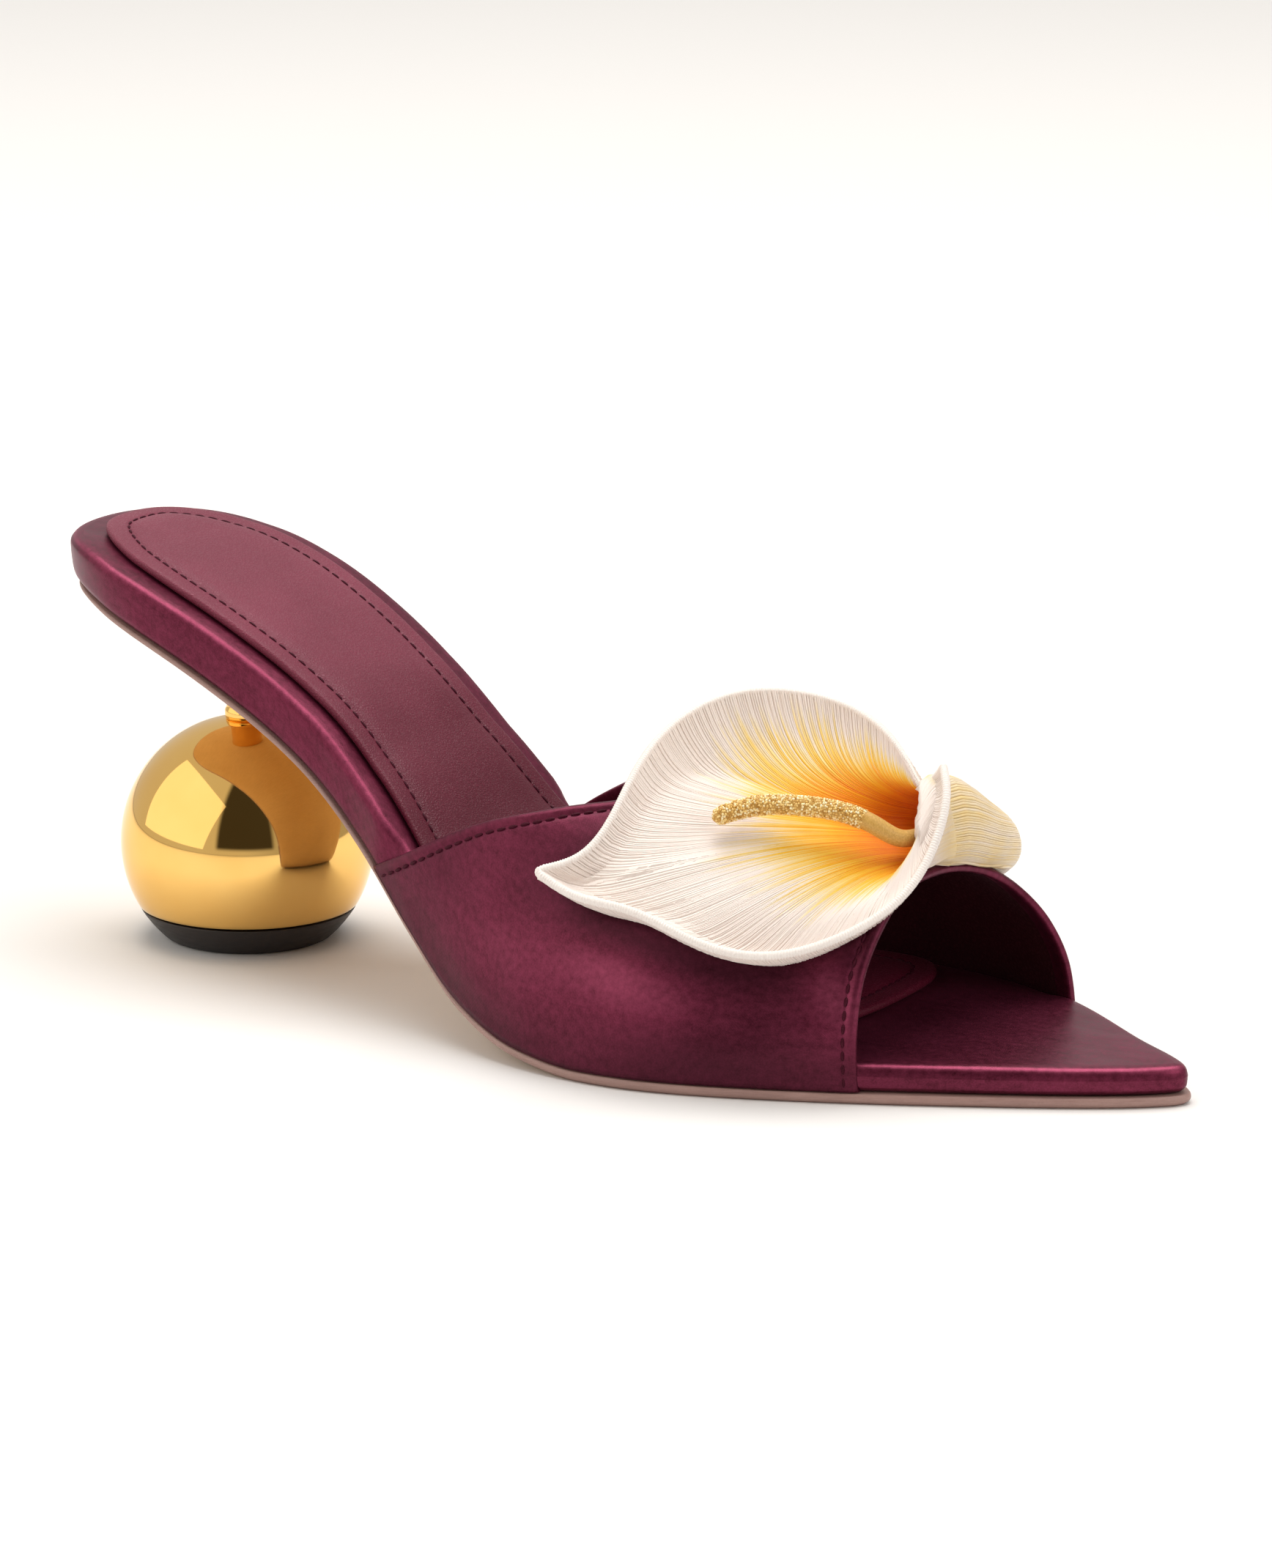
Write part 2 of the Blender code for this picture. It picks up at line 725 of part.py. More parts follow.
def petal_grid():
    """Inner face of the petal: rows round the flower, columns from the stalk to the rim."""
    line = open_spline(TUBE, [k / TUBE_STEPS for k in range(TUBE_STEPS + 1)])
    frames = tube_frame(line)
    axis = unit(np.array(THROAT_AXIS))
    frames[-1] = level_frame(axis)
    grid = []
    for i in range(PETAL_AROUND + 1):
        share = i / PETAL_AROUND
        row = []
        for k, (centre, (_, up, out)) in enumerate(zip(line, frames)):
            open_share = k / TUBE_STEPS
            seam = SEAM_AT_STALK + (SEAM_AT_THROAT - SEAM_AT_STALK) * open_share
            if share <= 0.5:
                degrees = seam + 2.0 * share * (180.0 - seam)
            else:
                turn = 180.0 + seam - SEAM_SLIT + LAP_ANGLE * open_share
                degrees = 180.0 + (2.0 * share - 1.0) ** RIM_FRONT_SPREAD * turn
            angle = math.radians(degrees)
            lap = float(ease((degrees - LAP_START) / LAP_RAMP))
            radius = centre[3] + LAP_LIFT * open_share * lap
            row.append(centre[:3] + radius * (math.cos(angle) * up + math.sin(angle) * out))
        rim = rim_curve(share)
        start = row[-1]
        reach = np.linalg.norm(rim - start)
        way = unit(axis + THROAT_BEND * (rim - start) / reach)
        first = start + way * min(THROAT_REACH, 0.5 * reach)
        drop = np.array([0.0, 0.0, RIM_DROP * min(reach / RIM_DROP_REACH, 1.0)])
        second = rim + RIM_REACH * (first - rim) - drop
        for t, _ in FLARE:
            s = 1.0 - t
            row.append(s ** 3 * start + 3.0 * s * s * t * first + 3.0 * s * t * t * second + t ** 3 * rim)
        grid.append(row)
    return grid


def grid_normals(grid):
    """Unit normals of a grid of points."""
    g = np.array(grid)
    around = np.gradient(g, axis=0)
    along = np.gradient(g, axis=1)
    normal = np.cross(around, along)
    return normal / np.maximum(np.linalg.norm(normal, axis=2), 1e-9)[:, :, None]


def build_petal(material):
    """Petal sheet with a corded rim, clear of the band below it."""
    grid = petal_grid()
    floor = PETAL_THICK + 2.0 * GAP
    face = [[clear_of_band(p, floor) for p in row] for row in grid]
    normals = grid_normals(face)
    middle = np.array(open_spline(TUBE, [0.5])[0][:3])
    sample = np.array(face[PETAL_AROUND // 4][1])
    outward = normals if normals[PETAL_AROUND // 4][1] @ (sample - middle) > 0.0 else -normals
    front = []
    back = []
    for i, row in enumerate(face):
        near = []
        far = []
        for j, point in enumerate(row):
            swell = FLARE[j - TUBE_STEPS - 1][1] if j > TUBE_STEPS else 0.0
            thick = PETAL_THICK + swell * (RIM_THICK - PETAL_THICK)
            near.append(point - outward[i][j] * 0.5 * (thick - PETAL_THICK))
            far.append(clear_of_band(point + outward[i][j] * (0.5 * thick + 0.5 * PETAL_THICK), GAP))
        front.append(near)
        back.append(far)
    return sheet_solid("flower_spathe", front, back, material)


def build_spadix(material):
    """Rod in the flower's throat with rounded ends."""
    line = open_spline(SPADIX, [k / SPADIX_STEPS for k in range(SPADIX_STEPS + 1)])
    rings = []
    for k, (centre, (_, up, out)) in enumerate(zip(line, tube_frame(line))):
        end = SPADIX_END_SHARE if k in (0, SPADIX_STEPS) else 1.0
        ring = []
        for i in range(SPADIX_SIDES):
            angle = 2.0 * math.pi * i / SPADIX_SIDES
            ring.append(centre[:3] + end * centre[3] * (math.cos(angle) * up + math.sin(angle) * out))
        rings.append(np.array(ring))
    return turned_solid("flower_spadix", rings, material)


def build_stalk(material):
    """Half round stalk that lies on the medial side of the band."""
    x_at = smooth(STALK, 1)
    width_at = smooth(STALK, 2)
    height_at = smooth(STALK, 3)
    base = np.array(TUBE[0][:3])
    axis = unit(np.array(TUBE[1][:3]) - base)
    ahead = unit(np.array([1.0, 0.0, 0.0]) - axis[0] * axis)
    above = np.cross(ahead, axis)
    above = above if above[2] > 0.0 else -above
    radius, depth = STALK_PLUG
    turns = [math.pi * i / STALK_SIDES for i in range(STALK_SIDES + 1)]
    turns += [1.25 * math.pi, 1.5 * math.pi, 1.75 * math.pi]
    rings = []
    for step in (depth, -GAP):
        ring = [base + step * axis + radius * (math.cos(t) * ahead + math.sin(t) * above) for t in turns]
        rings.append(np.array(ring))
    for k in range(STALK_STEPS + 1):
        u = STALK[0][0] + (STALK[-1][0] - STALK[0][0]) * k / STALK_STEPS
        ring = []
        for t in turns:
            side = float(width_at(u)) * math.cos(t)
            lift = GAP + float(height_at(u)) * max(math.sin(t), 0.0) ** STALK_ROUND
            around = min(u + STALK_SLANT * side, STALK_LAST_U)
            ring.append(band_point(float(x_at(u)) + side, around, lift))
        rings.append(np.array(ring))
    return turned_solid("flower_stem", rings, material)


def main():
    """Build every piece of the shoe."""
    clear_scene()
    satin = make_material("burgundy_satin", (0.16, 0.022, 0.045), 0.0, 0.4)
    leather = make_material("burgundy_leather", (0.17, 0.03, 0.05), 0.0, 0.5)
    rose = make_material("rose_leather", (0.55, 0.32, 0.3), 0.0, 0.6)
    gold = make_material("polished_gold", (0.9, 0.58, 0.2), 1.0, 0.1)
    rubber = make_material("black_rubber", (0.02, 0.015, 0.013), 0.0, 0.6)
    silk = make_material("ivory_silk", (0.85, 0.8, 0.7), 0.0, 0.5)
    beads = make_material("gold_beads", (0.7, 0.48, 0.18), 0.8, 0.3)
    build_outsole(rose)
    build_footbed(satin)
    build_sock(leather)
    build_upper(satin)
    build_ball(gold)
    build_lift(rubber)
    build_heel_stem(gold)
    build_petal(silk)
    build_spadix(beads)
    build_stalk(leather)


main()
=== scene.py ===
"""Looks of a right heeled mule: a satin band with a silk calla flower, a leather sock and a gold ball heel.

Sizes are in millimetres in the shoe's plan frame: x from the heel ball's centre to the toe, y to the
medial side, z up from the floor. The function framed moves them to the frame's origin, in metres.
"""

import logging
import math
from dataclasses import dataclass, field
from enum import Enum
from typing import Sequence, Union

import bmesh
import bpy
import numpy as np
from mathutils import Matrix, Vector
from mathutils.kdtree import KDTree


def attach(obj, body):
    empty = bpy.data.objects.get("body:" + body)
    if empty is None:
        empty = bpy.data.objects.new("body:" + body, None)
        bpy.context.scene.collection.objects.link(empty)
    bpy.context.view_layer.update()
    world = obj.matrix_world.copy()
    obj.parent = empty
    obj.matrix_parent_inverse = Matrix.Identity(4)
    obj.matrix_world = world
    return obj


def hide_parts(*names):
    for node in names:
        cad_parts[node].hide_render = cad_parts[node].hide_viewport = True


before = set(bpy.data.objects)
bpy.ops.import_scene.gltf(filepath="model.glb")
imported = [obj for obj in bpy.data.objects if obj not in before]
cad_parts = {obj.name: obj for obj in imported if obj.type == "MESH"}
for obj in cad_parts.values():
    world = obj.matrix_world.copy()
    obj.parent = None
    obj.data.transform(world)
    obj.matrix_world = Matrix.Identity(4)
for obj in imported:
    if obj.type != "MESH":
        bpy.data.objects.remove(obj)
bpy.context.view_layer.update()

Array = np.ndarray
Material = bpy.types.Material
Object = bpy.types.Object
Mesh = bpy.types.Mesh
Rows = tuple[tuple[float, ...], ...]
Colour = tuple[float, float, float]
Place = tuple[float, float, float]
Span = tuple[float, float]

LOG = logging.getLogger("mule")
BODY = "root"
MM = 0.001
# Place of the frame's origin in the plan frame.
PLAN_MIDDLE = np.array([82.95, -5.538, 0.0])
# Air between pieces, and height of a stitch over its channel.
GAP = 0.3
STITCH_LIFT = 0.05
TURN = 2.0 * math.pi


def ease(t: Array) -> Array:
    """Smooth step between 0 and 1."""
    t = np.clip(t, 0.0, 1.0)
    return t * t * (3.0 - 2.0 * t)


def unit(vector: Array) -> Array:
    """Vectors of the last axis scaled to length one."""
    return vector / np.maximum(np.linalg.norm(vector, axis=-1, keepdims=True), 1e-9)


def hermite(t: Array, h: Array, start: Array, end: Array, slope: Array, last_slope: Array) -> Array:
    """Cubic between two values with given slopes.

    Args:
        t: Share of the span.
        h: Length of the span.
        start: Value at the span's start.
        end: Value at the span's end.
        slope: Slope at the start.
        last_slope: Slope at the end.

    Returns:
        The cubic's values.
    """
    s = 1.0 - t
    first = (1.0 + 2.0 * t) * s * s * start + t * s * s * h * slope
    return first + t * t * (3.0 - 2.0 * t) * end - t * t * s * h * last_slope


class Curve:
    """Monotone cubic function through one column of a table."""

    def __init__(self, rows: Rows, column: int) -> None:
        """Work out the slopes.

        Args:
            rows: Table whose first column is the place.
            column: Column of the values.
        """
        table = np.array(rows, dtype=float)
        self.x = table[:, 0]
        self.y = table[:, column]
        self.h = np.diff(self.x)
        rise = np.diff(self.y) / self.h
        self.m = np.zeros_like(self.y)
        self.m[0] = rise[0]
        self.m[-1] = rise[-1]
        for i in range(1, len(self.x) - 1):
            if rise[i - 1] * rise[i] > 0.0:
                after = 2.0 * self.h[i] + self.h[i - 1]
                before = self.h[i] + 2.0 * self.h[i - 1]
                self.m[i] = (after + before) / (after / rise[i - 1] + before / rise[i])

    def __call__(self, at: Array) -> Array:
        """Values at the given places, held level past the table's ends."""
        at = np.clip(np.asarray(at, dtype=float), self.x[0], self.x[-1])
        k = np.clip(np.searchsorted(self.x, at) - 1, 0, len(self.h) - 1)
        t = (at - self.x[k]) / self.h[k]
        return hermite(t, self.h[k], self.y[k], self.y[k + 1], self.m[k], self.m[k + 1])


def closed_spline(points: Sequence[tuple[float, float]], steps: int) -> Array:
    """Sample a closed cubic curve through points, with the same steps in every span.

    Args:
        points: Points of the curve.
        steps: Samples of a span.

    Returns:
        The samples in order.
    """
    p = np.array(points, dtype=float)
    n = len(p)
    span = np.linalg.norm(np.roll(p, -1, axis=0) - p, axis=1) ** 0.75
    a = np.zeros((n, n))
    b = np.zeros_like(p)
    for i in range(n):
        before = span[i - 1]
        after = span[i]
        a[i, i - 1] = after
        a[i, i] = 2.0 * (before + after)
        a[i, (i + 1) % n] = before
        ahead = (p[(i + 1) % n] - p[i]) / after
        behind = (p[i] - p[i - 1]) / before
        b[i] = 3.0 * (after * behind + before * ahead)
    m = np.linalg.solve(a, b)
    t = np.arange(steps)[None, :, None] / steps
    h = span[:, None, None]
    ahead = np.roll(p, -1, axis=0)[:, None]
    out = hermite(t, h, p[:, None], ahead, m[:, None], np.roll(m, -1, axis=0)[:, None])
    return out.reshape(-1, 2)


def open_spline(points: Array, shares: Array) -> Array:
    """Sample an open cubic curve through points at shares of its length.

    Args:
        points: Points, whose first three columns are a place.
        shares: Shares of the length from 0 to 1.

    Returns:
        One row for each share.
    """
    p = np.array(points, dtype=float)
    n = len(p)
    span = np.linalg.norm(np.diff(p[:, :3], axis=0), axis=1)
    knots = np.concatenate([[0.0], np.cumsum(span)])
    a = np.zeros((n, n))
    b = np.zeros_like(p)
    a[0, :2] = (2.0, 1.0)
    b[0] = 3.0 * (p[1] - p[0]) / span[0]
    a[-1, -2:] = (1.0, 2.0)
    b[-1] = 3.0 * (p[-1] - p[-2]) / span[-1]
    for i in range(1, n - 1):
        a[i, i - 1 : i + 2] = (span[i], 2.0 * (span[i - 1] + span[i]), span[i - 1])
        behind = (p[i] - p[i - 1]) / span[i - 1]
        ahead = (p[i + 1] - p[i]) / span[i]
        b[i] = 3.0 * (span[i] * behind + span[i - 1] * ahead)
    m = np.linalg.solve(a, b)
    at = np.asarray(shares, dtype=float) * knots[-1]
    k = np.clip(np.searchsorted(knots, at) - 1, 0, n - 2)
    t = ((at - knots[k]) / span[k])[:, None]
    return hermite(t, span[k][:, None], p[k], p[k + 1], m[k], m[k + 1])


def refine(loops: Array, steps: int) -> Array:
    """Add loops between the given ones by a cubic through four neighbours.

    Args:
        loops: Loops of points, first axis over the loops.
        steps: New spans for each old one.

    Returns:
        The finer stack, which still holds the given loops.
    """
    padded = np.concatenate([2.0 * loops[:1] - loops[1:2], loops, 2.0 * loops[-1:] - loops[-2:-1]])
    out = []
    for k in range(len(loops) - 1):
        a, b, c, d = padded[k : k + 4]
        for j in range(steps):
            t = j / steps
            out.append(hermite(t, 1.0, b, c, 0.5 * (c - a), 0.5 * (d - b)))
    out.append(loops[-1])
    return np.array(out)


def inset(loop: Array, depth: Union[float, Array]) -> Array:
    """Move a closed plan loop inwards by a depth, which may differ from point to point."""
    ahead = unit(np.roll(loop, -1, axis=0) - np.roll(loop, 1, axis=0))
    inward = np.stack([-ahead[:, 1], ahead[:, 0]], axis=1)
    return loop + inward * np.broadcast_to(np.asarray(depth, dtype=float), (len(loop),))[:, None]


def plan_loop(rows: Rows, steps: int) -> Array:
    """Closed loop from the heel's back along the lateral side to the tip and home on the medial side."""
    lateral = [(x, -near) for x, near, far in rows]
    medial = [(x, far) for x, near, far in rows[-2:0:-1]]
    return closed_spline(lateral + medial, steps)


def grid_normals(grid: Array) -> Array:
    """Unit normals of a grid of points, square to its rows and columns."""
    return unit(np.cross(np.gradient(grid, axis=0), np.gradient(grid, axis=1)))


def level_frame(axis: Array) -> tuple[Array, Array, Array]:
    """Axis with the top and side directions square to it."""
    top = unit(np.array([0.0, 0.0, 1.0]) - axis[2] * axis)
    return axis, top, unit(np.cross(axis, top))


def path_frames(points: Array) -> list[tuple[Array, Array, Array]]:
    """Axis, top and side directions along a line of points."""
    ahead = unit(np.gradient(points[:, :3], axis=0))
    return [level_frame(axis) for axis in ahead]


def framed(points: Array) -> Array:
    """Plan points in metres at the frame's origin."""
    return (points - PLAN_MIDDLE) * MM


def plan_points(piece: Object) -> Array:
    """A piece's points in the plan frame."""
    return np.array([v.co for v in piece.data.vertices]) / MM + PLAN_MIDDLE


def wrap(loops: Array) -> Array:
    """Close loops by repeating their first point at the end."""
    return np.concatenate([loops, loops[:, :1]], axis=1)


def wall_map(loops: Array) -> Array:
    """Cloth map of a wall: length along the first loop, height along the wall."""
    ahead = np.linalg.norm(np.diff(loops[0], axis=0), axis=1)
    along = np.concatenate([[0.0], np.cumsum(ahead)])
    up = np.linalg.norm(np.diff(loops, axis=0), axis=2)
    height = np.concatenate([np.zeros((1, loops.shape[1])), np.cumsum(up, axis=0)])
    return np.stack([np.broadcast_to(along, height.shape), height], axis=2)


def rungs(loop: Array, across: int) -> Array:
    """Grid that fills a plan loop from its lateral to its medial side."""
    half = len(loop) // 2
    lateral = loop[: half + 1]
    medial = np.concatenate([loop[:1], loop[half:][::-1]])
    t = np.linspace(0.0, 1.0, across + 1)[None, :, None]
    return lateral[:, None] * (1.0 - t) + medial[:, None] * t


class NodeGraph:
    """A node tree that is filled by Python calls and expressions."""

    def __init__(self, tree: bpy.types.NodeTree) -> None:
        """Keep the tree."""
        self.tree = tree

    def node(
        self, kind: str, settings: dict | None = None, sockets: dict | None = None, out: Union[int, str] = 0
    ) -> "Wire":
        """Add one node.

        Args:
            kind: Blender's name for the node's type.
            settings: Properties, set first; "stops" fills a colour ramp with places and colours.
            sockets: Values or wires for its inputs, by name or number.
            out: The output to hand back.

        Returns:
            That output as a wire.
        """
        made = self.tree.nodes.new(kind)
        for key, value in (settings or {}).items():
            if key == "stops":
                self._set_stops(made.color_ramp, value)
            else:
                setattr(made, key, value)
        for key, value in (sockets or {}).items():
            if isinstance(value, Wire):
                self.tree.links.new(value.socket, made.inputs[key])
            else:
                made.inputs[key].default_value = value
        return Wire(self, made.outputs[out] if len(made.outputs) else None)

    @staticmethod
    def _set_stops(ramp: bpy.types.ColorRamp, stops: Sequence[tuple[float, Colour]]) -> None:
        """Fill a colour ramp with places and colours."""
        while len(ramp.elements) < len(stops):
            ramp.elements.new(1.0)
        for element, (place, colour) in zip(ramp.elements, stops):
            element.position = place
            element.color = (*colour, 1.0)

    def scaled(self, vector: "Wire", size: tuple[float, float, float]) -> "Wire":
        """Vector times a size for each axis."""
        return self.node("ShaderNodeVectorMath", {"operation": "MULTIPLY"}, {0: vector, 1: size})

    def dot(self, vector: "Wire", axis: Array) -> "Wire":
        """Share of a vector along an axis."""
        settings = {"operation": "DOT_PRODUCT"}
        return self.node("ShaderNodeVectorMath", settings, {0: vector, 1: tuple(axis)}, 1)

    def mix(self, factor: "Value", a: "ColourValue", b: "ColourValue") -> "Wire":
        """Colour between two colours."""
        ends = {6: a if isinstance(a, Wire) else (*a, 1.0), 7: b if isinstance(b, Wire) else (*b, 1.0)}
        return self.node("ShaderNodeMix", {"data_type": "RGBA"}, {0: factor, **ends}, 2)

    def ramp(self, factor: "Wire", stops: Sequence[tuple[float, Colour]]) -> "Wire":
        """Colour from a ramp."""
        return self.node("ShaderNodeValToRGB", {"stops": stops}, {0: factor})

    def noise(self, vector: "Wire", scale: float, detail: float = 2.0) -> "Wire":
        """Soft noise between about 0 and 1."""
        return self.node("ShaderNodeTexNoise", None, {"Vector": vector, "Scale": scale, "Detail": detail})

    def step(self, value: "Wire", low: float, high: float) -> "Wire":
        """Smooth step from 0 at low to 1 at high."""
        settings = {"interpolation_type": "SMOOTHSTEP"}
        return self.node("ShaderNodeMapRange", settings, {0: value, 1: low, 2: high, 3: 0.0, 4: 1.0})

    def bump(self, height: "Wire", depth: float, strength: float, below: "Wire | None" = None) -> "Wire":
        """Surface normal from a height, with its full depth in metres."""
        sockets = {"Strength": strength, "Distance": depth, "Height": height}
        if below is not None:
            sockets["Normal"] = below
        return self.node("ShaderNodeBump", None, sockets)


class Wire:
    """An output socket that takes part in Python expressions."""

    def __init__(self, graph: NodeGraph, socket: bpy.types.NodeSocket | None) -> None:
        """Keep the graph and the socket."""
        self.graph = graph
        self.socket = socket

    def _math(self, operation: str, *values: "Value") -> "Wire":
        """Add a Math node on the given values."""
        return self.graph.node("ShaderNodeMath", {"operation": operation}, dict(enumerate(values)))

    def __add__(self, other: "Value") -> "Wire":
        """Sum."""
        return self._math("ADD", self, other)

    __radd__ = __add__

    def __sub__(self, other: "Value") -> "Wire":
        """Difference."""
        return self._math("SUBTRACT", self, other)

    def __rsub__(self, other: "Value") -> "Wire":
        """Difference from a number."""
        return self._math("SUBTRACT", other, self)

    def __mul__(self, other: "Value") -> "Wire":
        """Product."""
        return self._math("MULTIPLY", self, other)

    __rmul__ = __mul__

    def __truediv__(self, other: "Value") -> "Wire":
        """Quotient."""
        return self._math("DIVIDE", self, other)

    def __pow__(self, other: "Value") -> "Wire":
        """Power."""
        return self._math("POWER", self, other)

    def sine(self) -> "Wire":
        """Sine of an angle."""
        return self._math("SINE", self)

    def size(self) -> "Wire":
        """Value without its sign."""
        return self._math("ABSOLUTE", self)

    def clamp(self) -> "Wire":
        """Value held between 0 and 1."""
        return self.graph.node("ShaderNodeClamp", None, {0: self})


Value = Union[Wire, float]
ColourValue = Union[Wire, Colour]


class Paint(NodeGraph):
    """Node graph of one material with a Principled surface."""

    CLOTH_MAP = "cloth"

    def __init__(self, name: str) -> None:
        """Start an empty material.

        Args:
            name: Name of the material.
        """
        self.material = bpy.data.materials.new(name)
        self.material.use_nodes = True
        self.material.node_tree.nodes.clear()
        super().__init__(self.material.node_tree)

    def place(self) -> Wire:
        """Object coordinates in millimetres."""
        metres = self.node("ShaderNodeTexCoord", None, None, "Object")
        return self.scaled(metres, (1.0 / MM, 1.0 / MM, 1.0 / MM))

    def cloth(self) -> Wire:
        """The piece's own cloth map in millimetres."""
        return self.node("ShaderNodeUVMap", {"uv_map": self.CLOTH_MAP})

    def parts(self, vector: Wire) -> tuple[Wire, Wire]:
        """First two numbers of a vector."""
        first = self.node("ShaderNodeSeparateXYZ", None, {0: vector}, 0)
        return first, Wire(self, first.socket.node.outputs[1])

    def attribute(self, name: str) -> Wire:
        """A number kept on the mesh's points."""
        return self.node("ShaderNodeAttribute", {"attribute_name": name}, None, "Fac")

    def surface(self, values: dict[str, object]) -> Material:
        """Close the graph with a Principled surface.

        Args:
            values: Inputs of the surface by name.

        Returns:
            The finished material.
        """
        shader = self.node("ShaderNodeBsdfPrincipled", None, values)
        self.node("ShaderNodeOutputMaterial", None, {"Surface": shader})
        return self.material


@dataclass(frozen=True)
class Satin:
    """Silk satin with a fuzzy weave, faint slubs and a broad wine coloured gloss."""

    name: str = "burgundy_satin"
    deep: Colour = (0.068, 0.0062, 0.0175)
    lit: Colour = (0.205, 0.0270, 0.0660)
    # Painted highlight colour, then near black painted shade colour, laid on by the points' shade number.
    painted_highlight: Colour = (0.400, 0.0720, 0.1450)
    hidden: Colour = (0.012, 0.0010, 0.0035)
    gloss: float = 0.64
    roughness: float = 0.37
    weave_pitch: float = 0.45
    weave_depth: float = 0.03
    shaded: float = 0.62

    def material(self) -> Material:
        """Build the finish on the piece's cloth map; the points' shade number paints shade on it, and below
        0 paints a highlight.
        """
        paint = Paint(self.name)
        cloth = paint.cloth()
        along, across = paint.parts(cloth)
        slubs = paint.noise(paint.scaled(cloth, (0.12, 0.45, 1.0)), scale=1.0, detail=2.0)
        clouds = paint.noise(paint.scaled(cloth, (0.045, 0.065, 1.0)), scale=1.0, detail=2.0)
        nap = paint.noise(cloth, scale=0.8, detail=3.0)
        specks = paint.noise(cloth, scale=3.2, detail=1.0)
        turn = TURN / self.weave_pitch
        weave = (along * turn).sine() * (across * turn).sine()
        shade = (0.35 * slubs + 0.75 * clouds + 1.0 * nap + 0.50 * specks - 0.82).clamp()
        # The points' shade number is painted light: painted shade above 0, painted highlight below 0.
        painted_light = paint.attribute("shade")
        dark = (self.shaded * painted_light).clamp()
        light = ((0.35 + 1.2 * nap) * (-0.55 * painted_light)).clamp()
        tone = paint.mix(light, paint.mix(shade, self.deep, self.lit), self.painted_highlight)
        threads = 0.25 * weave + 0.7 * nap + 0.6 * specks
        fine = paint.bump(threads, depth=self.weave_depth * MM, strength=0.5)
        soft = paint.bump(clouds, depth=2.4 * MM, strength=0.3, below=fine)
        return paint.surface(
            {
                "Base Color": paint.mix(dark, tone, self.hidden),
                "Roughness": self.roughness + 0.14 * (nap - 0.5) + 0.10 * (clouds - 0.5),
                "Metallic": self.gloss,
                "Specular IOR Level": 0.22,
                "Sheen Weight": 0.04,
                "Sheen Roughness": 0.3,
                "Sheen Tint": (0.95, 0.25, 0.45, 1.0),
                "Normal": soft,
            }
        )


@dataclass(frozen=True)
class Leather:
    """Soft leather with a pebble grain."""

    name: str
    deep: Colour
    lit: Colour
    pebble: float = 0.9
    depth: float = 0.06
    strength: float = 0.5
    roughness: float = 0.46
    sheen: float = 0.12
    gloss: float = 0.36
    mottle: float = 0.3
    cloud: float = 0.8
    # Painted shade towards the toe: start and end along x in millimetres, then its depth.
    fade: tuple[float, float, float] = (0.0, 1.0, 0.0)

    def material(self) -> Material:
        """Build the finish on object coordinates; fade gives two places along x and the depth of painted
        shade beyond.
        """
        paint = Paint(self.name)
        place = paint.place()
        near, far, deepening = self.fade
        forward = paint.step(paint.parts(place)[0], near, far)
        warped = paint.node(
            "ShaderNodeVectorMath",
            {"operation": "ADD"},
            {0: place, 1: paint.node("ShaderNodeTexNoise", None, {"Vector": place, "Scale": 0.9}, "Color")},
        )
        cells = paint.node(
            "ShaderNodeTexVoronoi",
            {"feature": "DISTANCE_TO_EDGE"},
            {"Vector": warped, "Scale": 1.0 / self.pebble},
            "Distance",
        )
        grain = paint.step(cells, low=0.0, high=0.34)
        pores = paint.noise(place, scale=4.2, detail=2.0)
        clouds = paint.noise(place, scale=0.06, detail=2.0)
        fine = paint.bump(0.8 * grain + 0.4 * pores, depth=self.depth * MM, strength=self.strength)
        soft = paint.bump(clouds, depth=1.2 * MM, strength=0.08, below=fine)
        even = 0.325 - 0.5 * self.cloud
        patches = self.mottle * (grain - 0.5) + self.cloud * clouds + 0.25 * pores + even
        shade = (patches - deepening * forward).clamp()
        return paint.surface(
            {
                "Base Color": paint.mix(shade, self.deep, self.lit),
                "Roughness": self.roughness + 0.14 * (0.5 - grain) + 0.10 * (pores - 0.5),
                "Specular IOR Level": self.gloss,
                "Sheen Weight": self.sheen,
                "Sheen Roughness": 0.45,
                "Sheen Tint": (1.0, 0.6, 0.7, 1.0),
                "Normal": soft,
            }
        )


@dataclass(frozen=True)
class SoleLeather:
    """Smooth rose leather of the outsole with a brushed edge."""

    name: str = "rose_leather"
    deep: Colour = (0.26, 0.145, 0.125)
    lit: Colour = (0.47, 0.300, 0.262)

    def material(self) -> Material:
        """Build the finish on object coordinates."""
        paint = Paint(self.name)
        place = paint.place()
        streaks = paint.noise(paint.scaled(place, (0.35, 0.35, 5.0)), scale=1.0, detail=4.0)
        specks = paint.noise(place, scale=2.4, detail=3.0)
        clouds = paint.noise(place, scale=0.08, detail=3.0)
        shade = (0.7 * streaks + 0.3 * specks + 0.6 * clouds - 0.35).clamp()
        return paint.surface(
            {
                "Base Color": paint.mix(shade, self.deep, self.lit),
                "Roughness": 0.46 + 0.2 * (specks - 0.5),
                "Specular IOR Level": 0.45,
                "Normal": paint.bump(0.6 * streaks + 0.5 * specks, depth=0.05 * MM, strength=0.4),
            }
        )


@dataclass(frozen=True)
class Gold:
    """Mirror polished gold plating."""

    name: str = "polished_gold"
    deep: Colour = (0.88, 0.51, 0.135)
    lit: Colour = (0.95, 0.62, 0.205)
    roughness: float = 0.035

    def material(self) -> Material:
        """Build the finish on object coordinates."""
        paint = Paint(self.name)
        place = paint.place()
        clouds = paint.noise(place, scale=0.09, detail=2.0)
        wipe = paint.noise(paint.scaled(place, (0.5, 0.5, 2.0)), scale=1.0, detail=5.0)
        return paint.surface(
            {
                "Base Color": paint.mix(clouds, self.deep, self.lit),
                "Metallic": 1.0,
                "Roughness": self.roughness + 0.05 * (wipe ** 3.0),
                "Normal": paint.bump(clouds, depth=0.05 * MM, strength=0.25),
            }
        )


